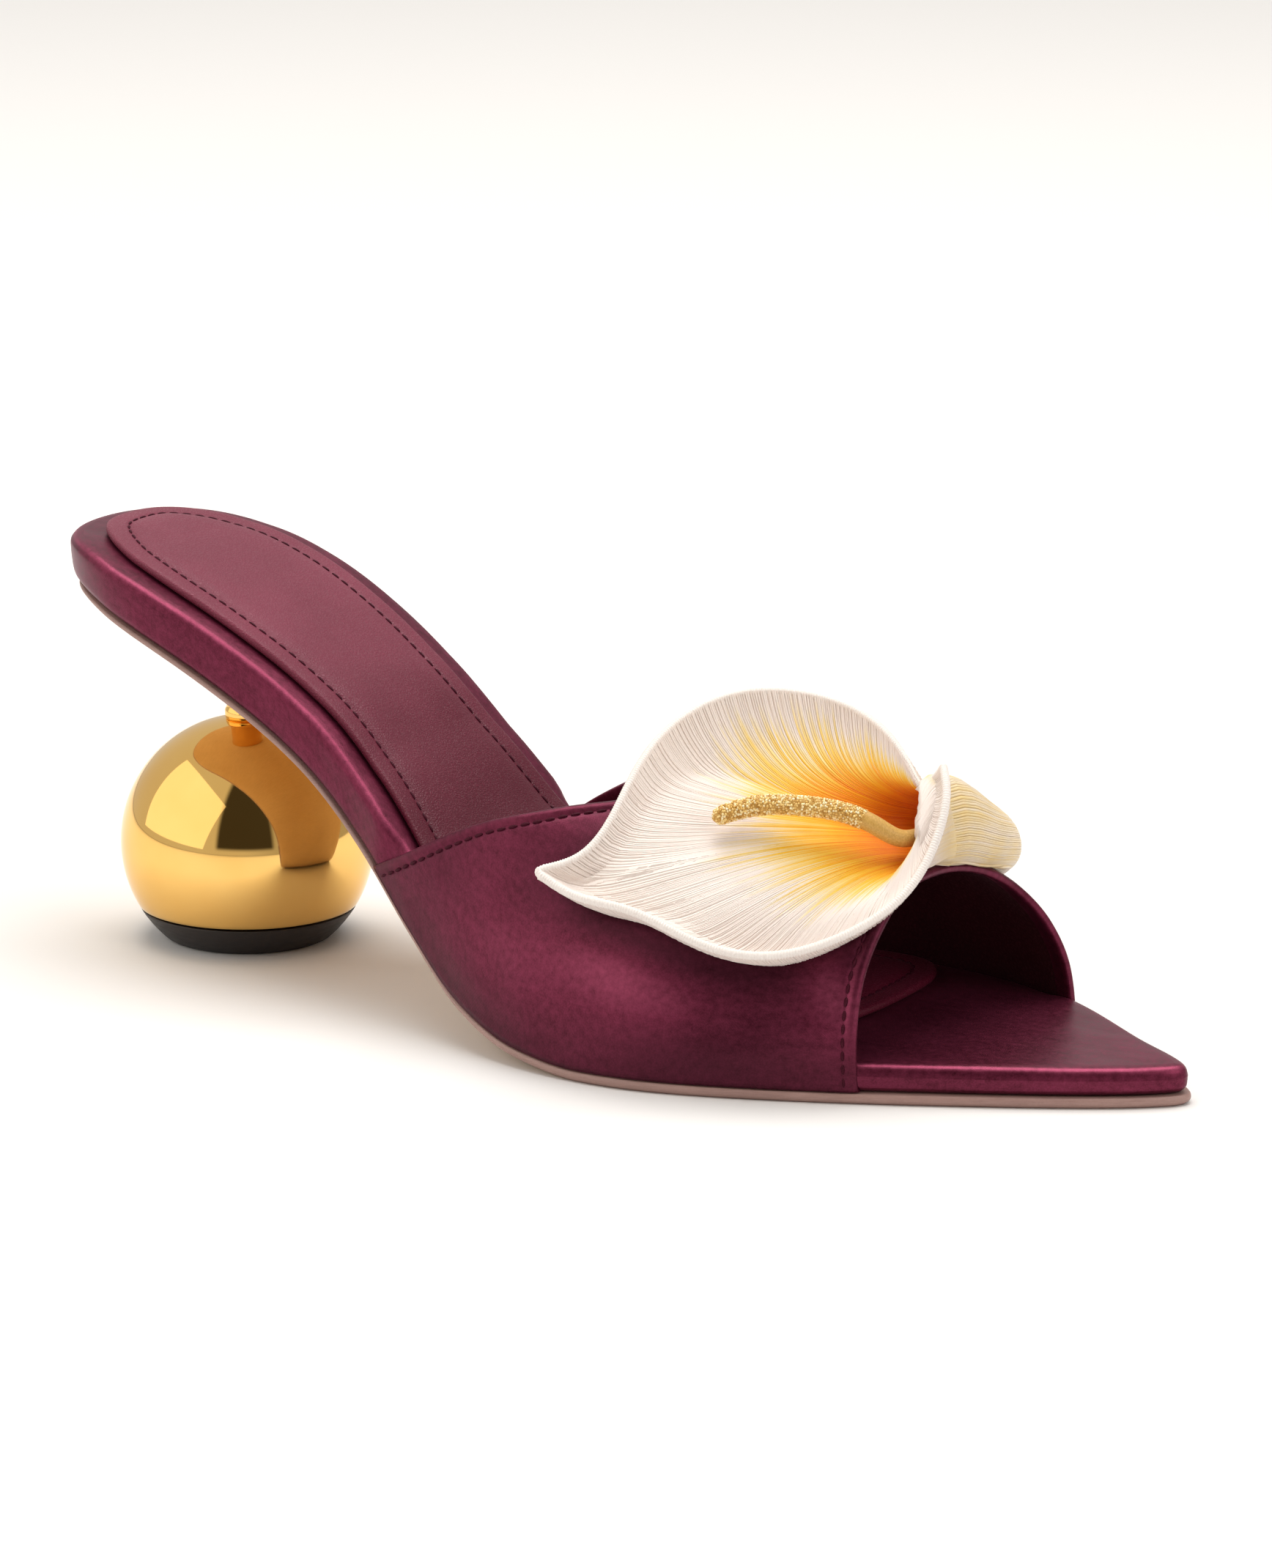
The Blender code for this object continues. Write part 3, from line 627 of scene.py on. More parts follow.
@dataclass(frozen=True)
class Rubber:
    """Moulded black rubber of the top lift."""

    name: str = "black_rubber"
    deep: Colour = (0.010, 0.007, 0.0065)
    lit: Colour = (0.026, 0.019, 0.017)

    def material(self) -> Material:
        """Build the finish on object coordinates."""
        paint = Paint(self.name)
        place = paint.place()
        specks = paint.noise(place, scale=3.0, detail=4.0)
        scuffs = paint.noise(paint.scaled(place, (0.4, 0.4, 1.6)), scale=1.0, detail=4.0)
        return paint.surface(
            {
                "Base Color": paint.mix((0.6 * specks + 0.5 * scuffs).clamp(), self.deep, self.lit),
                "Roughness": 0.42 + 0.3 * (scuffs - 0.4),
                "Specular IOR Level": 0.4,
                "Normal": paint.bump(specks, depth=0.04 * MM, strength=0.4),
            }
        )


@dataclass(frozen=True)
class Silk:
    """Laid silk of the flower, orange in the throat and ivory at the rim."""

    name: str
    throat: tuple[tuple[float, Colour], ...] = (
        (0.0, (0.62, 0.088, 0.0)),
        (0.26, (0.82, 0.200, 0.0)),
        (0.47, (0.90, 0.36, 0.002)),
        (0.64, (0.92, 0.54, 0.030)),
        (0.79, (0.91, 0.67, 0.24)),
        (0.91, (0.89, 0.755, 0.55)),
        (1.0, (0.885, 0.785, 0.725)),
    )
    shadow: Colour = (0.81, 0.68, 0.61)
    streak: float = 0.26
    roughness: float = 0.36

    def material(self) -> Material:
        """Build the finish on the numbers that the threads carry."""
        paint = Paint(self.name)
        place = paint.place()
        along = paint.attribute("along")
        reach = paint.attribute("reach")
        strand = paint.attribute("strand")
        blush = paint.noise(place, scale=0.11, detail=2.0)
        share = along / reach + self.streak * (strand - 0.5) + 0.22 * (blush - 0.5)
        tone = paint.ramp(share.clamp(), self.throat)
        far = paint.step(along, low=0.35, high=0.9) * paint.step(strand, low=0.35, high=1.0)
        fibre = paint.noise(place, scale=5.5, detail=2.0)
        return paint.surface(
            {
                "Base Color": paint.mix(0.4 * far * (0.4 + blush), tone, self.shadow),
                "Roughness": self.roughness + 0.18 * (strand - 0.5) + 0.1 * (fibre - 0.5),
                "Specular IOR Level": 0.2,
                "Coat Weight": 0.75 * paint.step(along, low=0.3, high=0.75),
                "Coat Roughness": 0.26,
                "Coat IOR": 1.5,
                "Normal": paint.bump(fibre, depth=0.03 * MM, strength=0.35),
            }
        )


@dataclass(frozen=True)
class Beads:
    """Small gold beads with their own tint each."""

    name: str = "gold_beads"
    tones: tuple[tuple[float, Colour], ...] = (
        (0.0, (0.50, 0.25, 0.045)),
        (0.25, (0.80, 0.52, 0.16)),
        (0.65, (0.95, 0.74, 0.33)),
        (1.0, (1.0, 0.93, 0.68)),
    )

    def material(self) -> Material:
        """Build the finish on the number that each bead carries."""
        paint = Paint(self.name)
        tint = paint.attribute("tint")
        haze = paint.noise(paint.place(), scale=1.5, detail=2.0)
        return paint.surface(
            {
                "Base Color": paint.ramp((tint + 0.2 * (haze - 0.5)).clamp(), self.tones),
                "Metallic": 0.7,
                "Roughness": 0.2 + 0.25 * haze,
            }
        )


@dataclass(frozen=True)
class Thread:
    """Twisted sewing thread."""

    name: str
    deep: Colour
    lit: Colour
    roughness: float = 0.5
    gloss: float = 0.3

    def material(self) -> Material:
        """Build the finish on object coordinates."""
        paint = Paint(self.name)
        place = paint.place()
        twist = paint.noise(place, scale=3.4, detail=3.0)
        return paint.surface(
            {
                "Base Color": paint.mix(twist, self.deep, self.lit),
                "Roughness": self.roughness + 0.2 * (twist - 0.5),
                "Specular IOR Level": self.gloss,
                "Normal": paint.bump(twist, depth=0.05 * MM, strength=0.5),
            }
        )


class Draft:
    """Points and faces of a piece that is being built, with its cloth map and finishes."""

    MERGE = 2e-6
    SLIVER = 1e-7

    def __init__(self) -> None:
        """Start empty."""
        self.points: list[Array] = []
        self.maps: list[Array] = []
        self.faces: list[tuple[int, ...]] = []
        self.kinds: list[int] = []
        self.count = 0

    def grid(self, points: Array, cloth: Array | None = None, kind: int = 0) -> None:
        """Add a grid of quads.

        Args:
            points: Rows and columns of points in millimetres.
            cloth: The same grid's cloth map in millimetres, or the plan if left out.
            kind: Number of its finish.
        """
        rows, columns = points.shape[:2]
        first = self.count + np.arange(rows * columns).reshape(rows, columns)
        corners = (first[:-1, :-1], first[:-1, 1:], first[1:, 1:], first[1:, :-1])
        quads = np.stack([c.ravel() for c in corners], axis=1)
        self.faces += [tuple(q) for q in quads.tolist()]
        self.kinds += [kind] * len(quads)
        self.points.append(points.reshape(-1, 3))
        self.maps.append((points[..., :2] if cloth is None else cloth).reshape(-1, 2))
        self.count += rows * columns

    def slab(self, loops: Array, across: int, across_top: int, kind: int = 0) -> None:
        """Add a wall of plan loops, filled at its foot and at its top.

        Args:
            loops: Loops of points from the foot upwards.
            across: Quads across the foot.
            across_top: Quads across the top.
            kind: Number of the foot's finish.
        """
        closed = wrap(loops)
        self.grid(closed, wall_map(closed))
        self.grid(rungs(loops[0], across), None, kind)
        self.grid(rungs(loops[-1], across_top))

    def edges(self, outer: Array, inner: Array, cloth: Array | None = None) -> None:
        """Join the four edges of two facing grids.

        Args:
            outer: Points of the one face.
            inner: Points of the other face.
            cloth: Cloth map of both, or the plan if left out.
        """
        whole = slice(None)
        for ends in ((0, whole), (-1, whole), (whole, 0), (whole, -1)):
            both = None if cloth is None else np.stack([cloth[ends], cloth[ends]], axis=1)
            self.grid(np.stack([outer[ends], inner[ends]], axis=1), both)

    def tube(self, rings: Array) -> None:
        """Add closed rings, with a fan over each end."""
        self.grid(rings)
        for end in (rings[:1], rings[-1:]):
            middle = np.broadcast_to(end[:, :-1].mean(axis=1, keepdims=True), end.shape)
            self.grid(np.concatenate([end, middle]))

    def build(self, name: str, *materials: Material) -> Object:
        """Make a smooth mesh object with merged seams and faces turned outwards.

        Args:
            name: Name of the piece.
            materials: Its finishes in order.

        Returns:
            The object.
        """
        mesh = bpy.data.meshes.new(name)
        mesh.from_pydata(framed(np.concatenate(self.points)).tolist(), [], self.faces)
        corner = np.zeros(len(mesh.loops), dtype=np.int32)
        mesh.loops.foreach_get("vertex_index", corner)
        layer = mesh.uv_layers.new(name=Paint.CLOTH_MAP)
        layer.data.foreach_set("uv", np.concatenate(self.maps)[corner].astype(np.float32).ravel())
        mesh.polygons.foreach_set("material_index", np.array(self.kinds, dtype=np.int32))
        shape = bmesh.new()
        shape.from_mesh(mesh)
        bmesh.ops.remove_doubles(shape, verts=shape.verts, dist=self.MERGE)
        bmesh.ops.dissolve_degenerate(shape, edges=shape.edges, dist=self.SLIVER)
        bmesh.ops.recalc_face_normals(shape, faces=shape.faces)
        for face in shape.faces:
            face.smooth = True
        shape.to_mesh(mesh)
        shape.free()
        for material in materials:
            mesh.materials.append(material)
        return link(name, mesh)


def link(name: str, data: bpy.types.ID) -> Object:
    """Put a mesh, a light or a camera into the scene as an object."""
    item = bpy.data.objects.new(name, data)
    bpy.context.scene.collection.objects.link(item)
    return item


def stand(name: str, data: bpy.types.ID, place: Place, aim: Place) -> Object:
    """Put a light or a camera into the scene, turned to a point.

    Args:
        name: Its name.
        data: The light's or the camera's own data.
        place: Where it stands.
        aim: The point that it faces.

    Returns:
        The object.
    """
    item = link(name, data)
    item.location = place
    item.rotation_mode = "QUATERNION"
    item.rotation_quaternion = (Vector(aim) - Vector(place)).to_track_quat("-Z", "Y")
    return item


def settle(piece: Object, slot: str, *nodes: str) -> None:
    """Let a finished piece ride on the shoe and report it.

    Args:
        piece: The object.
        slot: Slot of the record; not used.
        nodes: Solids that it stands for.
    """
    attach(piece, BODY)
    if nodes:
        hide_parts(*nodes)
    piece.data.calc_loop_triangles()
    LOG.info("%s: %d triangles", piece.name, len(piece.data.loop_triangles))


def number_points(mesh: Mesh, name: str, values: Array) -> None:
    """Give each point of a mesh a number that a finish or a tree reads.

    Args:
        mesh: The mesh.
        name: Name of the attribute.
        values: One number for each point.
    """
    layer = mesh.attributes.new(name, "FLOAT", "POINT")
    layer.data.foreach_set("value", values.astype(np.float32))


def guide_lines(lines: Sequence[Array], numbers: dict[str, Sequence[Array]]) -> Mesh:
    """Mesh of open lines that carry numbers on their points.

    Args:
        lines: Lines of points in millimetres.
        numbers: For each name, one array of numbers for each line.

    Returns:
        The mesh in metres.
    """
    mesh = bpy.data.meshes.new("guide")
    edges = []
    first = 0
    for line in lines:
        edges += [(first + i, first + i + 1) for i in range(len(line) - 1)]
        first += len(line)
    mesh.from_pydata(framed(np.concatenate(lines)).tolist(), edges, [])
    for name, values in numbers.items():
        number_points(mesh, name, np.concatenate(values))
    return mesh


class Socket(Enum):
    """Kinds of a tree's named inputs."""

    NUMBER = "NodeSocketFloat"
    COUNT = "NodeSocketInt"
    FINISH = "NodeSocketMaterial"


class Grower(NodeGraph):
    """A geometry tree that grows a piece on a guide mesh, with named inputs for its sizes."""

    def __init__(self, name: str, **inputs: Socket) -> None:
        """Start a tree.

        Args:
            name: Name of the tree.
            inputs: Kind of each named input.
        """
        super().__init__(bpy.data.node_groups.new(name, "GeometryNodeTree"))
        face = self.tree.interface
        face.new_socket("Guide", in_out="INPUT", socket_type="NodeSocketGeometry")
        self.keys = {
            key: face.new_socket(key, in_out="INPUT", socket_type=kind.value).identifier
            for key, kind in {**inputs, "finish": Socket.FINISH}.items()
        }
        face.new_socket("Piece", in_out="OUTPUT", socket_type="NodeSocketGeometry")
        self.entry = self.tree.nodes.new("NodeGroupInput")

    def given(self, key: str) -> Wire:
        """The wire of a named input."""
        return Wire(self, self.entry.outputs[key])

    def curve(self, spacing: str = "") -> Wire:
        """The guide's lines as curves, with even spaces where the name of an input is given."""
        curve = self.node("GeometryNodeMeshToCurve", None, {0: self.given("Guide")})
        if not spacing:
            return curve
        sockets = {"Curve": curve, "Length": self.given(spacing)}
        return self.node("GeometryNodeResampleCurve", {"mode": "LENGTH"}, sockets)

    def thick(self) -> Wire:
        """Radius that the guide's points carry."""
        return self.node("GeometryNodeInputNamedAttribute", {"data_type": "FLOAT"}, {"Name": "thick"})

    def tube(self, curve: Wire, radius: Wire) -> Wire:
        """Closed tube round a curve, with as many sides as the input says."""
        ring = {"Resolution": self.given("sides"), "Radius": 1.0}
        profile = self.node("GeometryNodeCurvePrimitiveCircle", None, ring)
        sockets = {"Curve": curve, "Profile Curve": profile, "Scale": radius, "Fill Caps": True}
        return self.node("GeometryNodeCurveToMesh", None, sockets)

    def chance(self, low: float, high: float, seed: int) -> Wire:
        """A number of its own for each point."""
        sockets = {2: low, 3: high, "Seed": seed}
        return self.node("FunctionNodeRandomValue", {"data_type": "FLOAT"}, sockets, 1)

    def close(self, shape: Wire) -> None:
        """End the tree: instances made real, smooth faces and the finish."""
        real = self.node("GeometryNodeRealizeInstances", None, {0: shape})
        smooth = self.node("GeometryNodeSetShadeSmooth", None, {0: real})
        dressed = self.node("GeometryNodeSetMaterial", None, {0: smooth, "Material": self.given("finish")})
        self.node("NodeGroupOutput", None, {0: dressed})

    def grow(self, name: str, guide: Mesh, **values: object) -> Object:
        """Run the tree and keep its result as a plain mesh.

        Args:
            name: Name of the piece.
            guide: Mesh that the tree starts from.
            values: Values of the named inputs.

        Returns:
            The grown object.
        """
        carrier = link(name + "_guide", guide)
        modifier = carrier.modifiers.new("grow", "NODES")
        modifier.node_group = self.tree
        for key, value in values.items():
            modifier[self.keys[key]] = value
        depsgraph = bpy.context.evaluated_depsgraph_get()
        mesh = bpy.data.meshes.new_from_object(
            carrier.evaluated_get(depsgraph), preserve_all_data_layers=True, depsgraph=depsgraph
        )
        mesh.name = name
        carrier.modifiers.remove(modifier)
        bpy.data.objects.remove(carrier, do_unlink=True)
        return link(name, mesh)


def stitch_tree() -> Grower:
    """Tree that lays stitches end to end along a line.

    Returns:
        The tree, with the stitch's pitch, length and thickness as inputs.
    """
    tree = Grower("stitches", pitch=Socket.NUMBER, length=Socket.NUMBER, thickness=Socket.NUMBER)
    bead = tree.node("GeometryNodeMeshUVSphere", None, {"Segments": 8, "Rings": 6, "Radius": 0.5})
    thick = tree.given("thickness")
    size = tree.node("ShaderNodeCombineXYZ", None, {0: thick, 1: thick, 2: tree.given("length")})
    stitch = tree.node("GeometryNodeTransform", None, {"Geometry": bead, "Scale": size})
    tangent = tree.node("GeometryNodeInputTangent")
    turn = tree.node("FunctionNodeAlignRotationToVector", {"axis": "Z"}, {"Vector": tangent})
    sockets = {"Points": tree.curve("pitch"), "Instance": stitch, "Rotation": turn}
    tree.close(tree.node("GeometryNodeInstanceOnPoints", None, sockets))
    return tree


def thread_tree() -> Grower:
    """Tree that turns guide lines into threads as thick as the lines say.

    Returns:
        The tree, with the number of sides as an input.
    """
    tree = Grower("threads", sides=Socket.COUNT)
    tree.close(tree.tube(tree.curve(), tree.thick()))
    return tree


def cord_tree() -> Grower:
    """Tree that whips a cord along a line: a tube with fine rings of thread round it.

    Returns:
        The tree, with the points' spacing, the pitch and depth of the whipping and the sides as inputs.
    """
    number = Socket.NUMBER
    tree = Grower("whipped_cord", spacing=number, pitch=number, depth=number, sides=Socket.COUNT)
    length = tree.node("GeometryNodeSplineParameter", None, None, "Length")
    ridge = (length * TURN / tree.given("pitch")).sine() * tree.given("depth")
    tree.close(tree.tube(tree.curve("spacing"), tree.thick() + ridge))
    return tree


def bead_tree() -> Grower:
    """Tree that covers a rod with small beads, each with its own size, turn and tint.

    Returns:
        The tree, with the beads' radius, their spacing and the seed as inputs.
    """
    tree = Grower("bead_coat", radius=Socket.NUMBER, spacing=Socket.NUMBER, seed=Socket.COUNT)
    ground = {"Mesh": tree.given("Guide"), "Distance Min": tree.given("spacing"), "Density Max": 2e7}
    ground["Seed"] = tree.given("seed")
    method = {"distribute_method": "POISSON"}
    spots = tree.node("GeometryNodeDistributePointsOnFaces", method, ground)
    bead = tree.node("GeometryNodeMeshIcoSphere", None, {"Radius": tree.given("radius"), "Subdivisions": 1})
    angles = {0: (0.0, 0.0, 0.0), 1: (TURN, TURN, TURN), "Seed": 5}
    spin = tree.node("FunctionNodeRandomValue", {"data_type": "FLOAT_VECTOR"}, angles)
    sockets = {"Points": spots, "Instance": bead, "Rotation": spin, "Scale": tree.chance(0.75, 1.2, 3)}
    placed = tree.node("GeometryNodeInstanceOnPoints", None, sockets)
    kept = {"Geometry": placed, "Name": "tint", "Value": tree.chance(0.0, 1.0, 11)}
    settings = {"data_type": "FLOAT", "domain": "INSTANCE"}
    tree.close(tree.node("GeometryNodeStoreNamedAttribute", settings, kept))
    return tree


@dataclass(frozen=True)
class Seam:
    """Sizes of a row of stitches."""

    pitch: float
    length: float
    thick: float


@dataclass(frozen=True)
class Needle:
    """Sews rows of stitches with one thread."""

    stitches: Grower
    thread: Material

    def sew(self, name: str, lines: Sequence[Array], seam: Seam, slot: str) -> None:
        """Lay stitches along lines.

        Args:
            name: Name of the piece.
            lines: Lines of points in millimetres.
            seam: Sizes of the stitches.
            slot: Slot of the record, handed on to settle.
        """
        sizes = {"pitch": seam.pitch * MM, "length": seam.length * MM, "thickness": seam.thick * MM}
        settle(self.stitches.grow(name, guide_lines(lines, {}), **sizes, finish=self.thread), slot)


class Side(Enum):
    """The two sides of the shoe."""

    LATERAL = -1
    MEDIAL = 1


@dataclass
class SoleForm:
    """Plan, profile and layers of the sole."""

    # Plan: x, half width on the lateral side, half width on the medial side.
    outline: Rows = (
        (-33.5, 0.0, 0.0), (-32.4, 7.8, 8.0), (-28.6, 14.7, 15.2), (-20.2, 20.9, 21.9),
        (-8.0, 24.7, 26.4), (10.0, 25.6, 26.8), (25.0, 25.4, 24.7), (40.0, 27.2, 22.0),
        (60.0, 34.4, 20.8), (80.0, 42.2, 23.2), (95.0, 45.8, 27.0), (112.0, 46.1, 31.1),
        (130.0, 40.9, 33.0), (150.0, 32.0, 30.5), (170.0, 21.4, 20.8), (186.0, 12.0, 9.8),
        (195.6, 4.8, 3.9), (198.8, 0.0, 0.0),
    )
    # Underside: x, height.
    profile: Rows = (
        (-36.0, 65.6), (-25.0, 64.6), (-12.0, 61.5), (0.0, 57.2), (15.0, 50.0), (30.0, 40.9),
        (45.0, 29.3), (60.0, 16.8), (75.0, 6.6), (90.0, 1.6), (105.0, 0.0), (120.0, 0.0), (200.0, 0.0),
    )
    # Thickness: x, outsole, whole sole.
    layers: Rows = (
        (-36.0, 1.2, 10.0), (60.0, 1.3, 9.6), (85.0, 1.6, 8.2), (110.0, 1.9, 7.4), (200.0, 1.9, 7.0),
    )
    heel_undercut: float = 1.7
    undercut_start: float = -6.0
    undercut_reach: float = 26.0
    steps: int = 12

    def __post_init__(self) -> None:
        """Work out the curves and the plan loop."""
        self.under = Curve(self.profile, 1)
        self.outsole_thick = Curve(self.layers, 1)
        self.sole_thick = Curve(self.layers, 2)
        self.loop = plan_loop(self.outline, self.steps)
        half = len(self.loop) // 2
        self.lateral = self.loop[: half + 1]
        self.medial = np.roll(self.loop, -half, axis=0)[: half + 1][::-1]

    def slant(self, x: Array) -> Array:
        """Vertical stretch of a layer where the profile slopes."""
        rise = self.under(x + 0.5) - self.under(x - 0.5)
        return np.sqrt(1.0 + rise * rise)

    def outsole_top(self, x: Array) -> Array:
        """Height of the outsole's upper face."""
        return self.under(x) + self.outsole_thick(x) * self.slant(x)

    def footbed_top(self, x: Array) -> Array:
        """Height of the footbed's upper face."""
        return self.under(x) + self.sole_thick(x) * self.slant(x)

    def half_width(self, x: Array, side: Side) -> Array:
        """Half width of the sole at a station on one side."""
        edge = self.lateral if side is Side.LATERAL else self.medial
        return np.interp(x, edge[:, 0], np.abs(edge[:, 1]))

    def undercut(self, share: float) -> Array:
        """Extra inset of the heel's back, full at the underside (0) and none at the top (1)."""
        reach = ease((self.undercut_start - self.loop[:, 0]) / self.undercut_reach)
        return self.heel_undercut * (1.0 - share) * reach


@dataclass
class SoleUnit:
    """Outsole, satin wrapped footbed and padded sock."""

    form: SoleForm
    # Outsole edge from below: inset, share of its thickness.
    outsole_edge: Rows = ((0.9, 0.0), (0.1, 0.35), (0.0, 0.75), (0.3, 1.0))
    outsole_proud: float = 0.6
    proud_start: float = 60.0
    proud_ramp: float = 25.0
    outsole_undercut: float = 0.12
    outsole_steps: int = 4
    # Footbed wall from below: inset, height over the outsole, height under the top, share of the way up.
    footbed_wall: Rows = (
        (1.0, 0.0, 0.0, 0.12), (0.2, 0.8, 0.0, 0.4), (0.0, 2.4, 0.0, 0.75), (0.0, 0.0, -2.0, 1.0),
        (0.35, 0.0, -0.9, 1.0), (1.2, 0.0, -0.2, 1.0), (2.4, 0.0, -0.01, 1.0),
    )
    footbed_steps: int = 5
    # Seat of the band's feet in the wall: first and last x of each side, depth, length of its ramps.
    band_seat: dict[Side, Span] = field(
        default_factory=lambda: {Side.LATERAL: (56.0, 146.5), Side.MEDIAL: (60.0, 157.0)}
    )
    seat_depth: float = 1.9
    seat_ramp: float = 5.0
    # Painted highlight line under the footbed's edge: distance from the top, half width, strength.
    highlight_edge: float = 0.45
    highlight_width: float = 0.26
    highlight_strength: float = 0.9
    # Plan of the sock: x, half width on the lateral side, half width on the medial side.
    sock_outline: Rows = (
        (-27.2, 0.0, 0.0), (-26.2, 6.4, 6.4), (-22.6, 11.4, 11.5), (-15.0, 16.6, 16.8),
        (-5.0, 19.6, 20.0), (10.0, 20.5, 20.2), (25.0, 20.4, 18.2), (40.0, 22.0, 15.6),
        (60.0, 28.6, 14.8), (80.0, 36.4, 17.4), (97.0, 40.6, 21.8), (112.0, 40.6, 25.6),
        (124.0, 36.2, 27.4), (132.0, 28.6, 26.0), (136.6, 18.0, 19.6), (138.2, 8.0, 9.0),
        (138.6, 0.0, 0.0),
    )
    # Sock section from its edge inwards: distance, height.
    sock_section: Rows = (
        (0.3, 0.0), (0.04, 0.4), (0.0, 0.75), (0.08, 1.08), (0.3, 1.34), (0.8, 1.5), (2.0, 1.56),
        (3.4, 1.55), (3.8, 1.46), (4.2, 1.32), (4.6, 1.46), (5.1, 1.7), (6.2, 1.98), (7.6, 2.14),
        (9.2, 2.22),
    )
    sock_steps: int = 2
    # Rows of the section that make the stitched channel.
    channel: tuple[int, int] = (7, 12)
    stitch_inset: float = 4.2
    seam: Seam = Seam(2.45, 1.85, 0.54)
    across: int = 14

    def seat(self) -> Array:
        """Inset of the footbed's wall where the band's foot lies against it."""
        depth = np.zeros(len(self.form.loop))
        x = self.form.loop[:, 0]
        for side, (first, last) in self.band_seat.items():
            here = self.form.loop[:, 1] * side.value > 0.0
            into = ease((x - first + self.seat_ramp) / self.seat_ramp)
            away = ease((last + self.seat_ramp - x) / self.seat_ramp)
            depth += np.where(here, self.seat_depth * into * away, 0.0)
        return depth

    def build_outsole(self, material: Material, tread: Material) -> None:
        """Thin outsole that follows the profile, with a rounded edge.

        Args:
            material: Finish of the edge and the upper face.
            tread: Finish of the underside.
        """
        form = self.form
        loops = []
        proud = self.outsole_proud * ease((form.loop[:, 0] - self.proud_start) / self.proud_ramp)
        for depth, share in self.outsole_edge:
            plan = inset(form.loop, depth - proud + form.undercut(self.outsole_undercut * share))
            low = form.under(plan[:, 0])
            loops.append(np.column_stack([plan, low + share * (form.outsole_top(plan[:, 0]) - low)]))
        draft = Draft()
        draft.slab(refine(np.array(loops), self.outsole_steps), self.across, self.across, 1)
        settle(draft.build("outsole_leather", material, tread), "outsole", "outsole")

    def build_footbed(self, material: Material) -> None:
        """Insole board wrapped in satin, with a crisp upper edge and a painted highlight line under it."""
        form = self.form
        loops = []
        for depth, over, under_top, share in self.footbed_wall:
            plan = inset(form.loop, depth + self.seat() + form.undercut(share))
            x = plan[:, 0]
            if under_top < 0.0:
                z = form.footbed_top(x) + under_top * form.slant(x)
            else:
                z = form.outsole_top(x) + GAP + over * form.slant(x)
            loops.append(np.column_stack([plan, z]))
        draft = Draft()
        draft.slab(refine(np.array(loops), self.footbed_steps), self.across, self.across)
        footbed = draft.build("footbed_satin", material)
        points = plan_points(footbed)
        # Painted highlight: a negative shade number along a line just under the top edge.
        under_edge = (form.footbed_top(points[:, 0]) - points[:, 2]) / form.slant(points[:, 0])
        lit = np.exp(-(((under_edge - self.highlight_edge) / self.highlight_width) ** 2))
        number_points(footbed.data, "shade", -self.highlight_strength * lit)
        settle(footbed, "satin", "footbed")

    def sock_loop(self, base: Array, depth: float, height: float) -> Array:
        """Loop of the sock at a distance from its edge and a height over the footbed."""
        plan = inset(base, depth)
        x = plan[:, 0]
        return np.column_stack([plan, self.form.footbed_top(x) + (GAP + height) * self.form.slant(x)])

    def build_sock(self, leather: Material, needle: Needle) -> None:
        """Padded sock with a stitched channel inside its edge.

        Args:
            leather: Finish of the sock.
            needle: Sews its stitches.
        """
        base = plan_loop(self.sock_outline, self.form.steps)
        loops = np.array([self.sock_loop(base, depth, height) for depth, height in self.sock_section])
        draft = Draft()
        draft.slab(refine(loops, self.sock_steps), self.across, 2 * self.across)
        sock = draft.build("sock_leather", leather)
        settle(sock, "sock", "sock_pad")
        channel = Curve(self.sock_section[slice(*self.channel)], 1)
        line = self.sock_loop(base, self.stitch_inset, float(channel(self.stitch_inset)) + STITCH_LIFT)
        needle.sew("sock_stitches", [np.vstack([line, line[:1]])], self.seam, "sock")


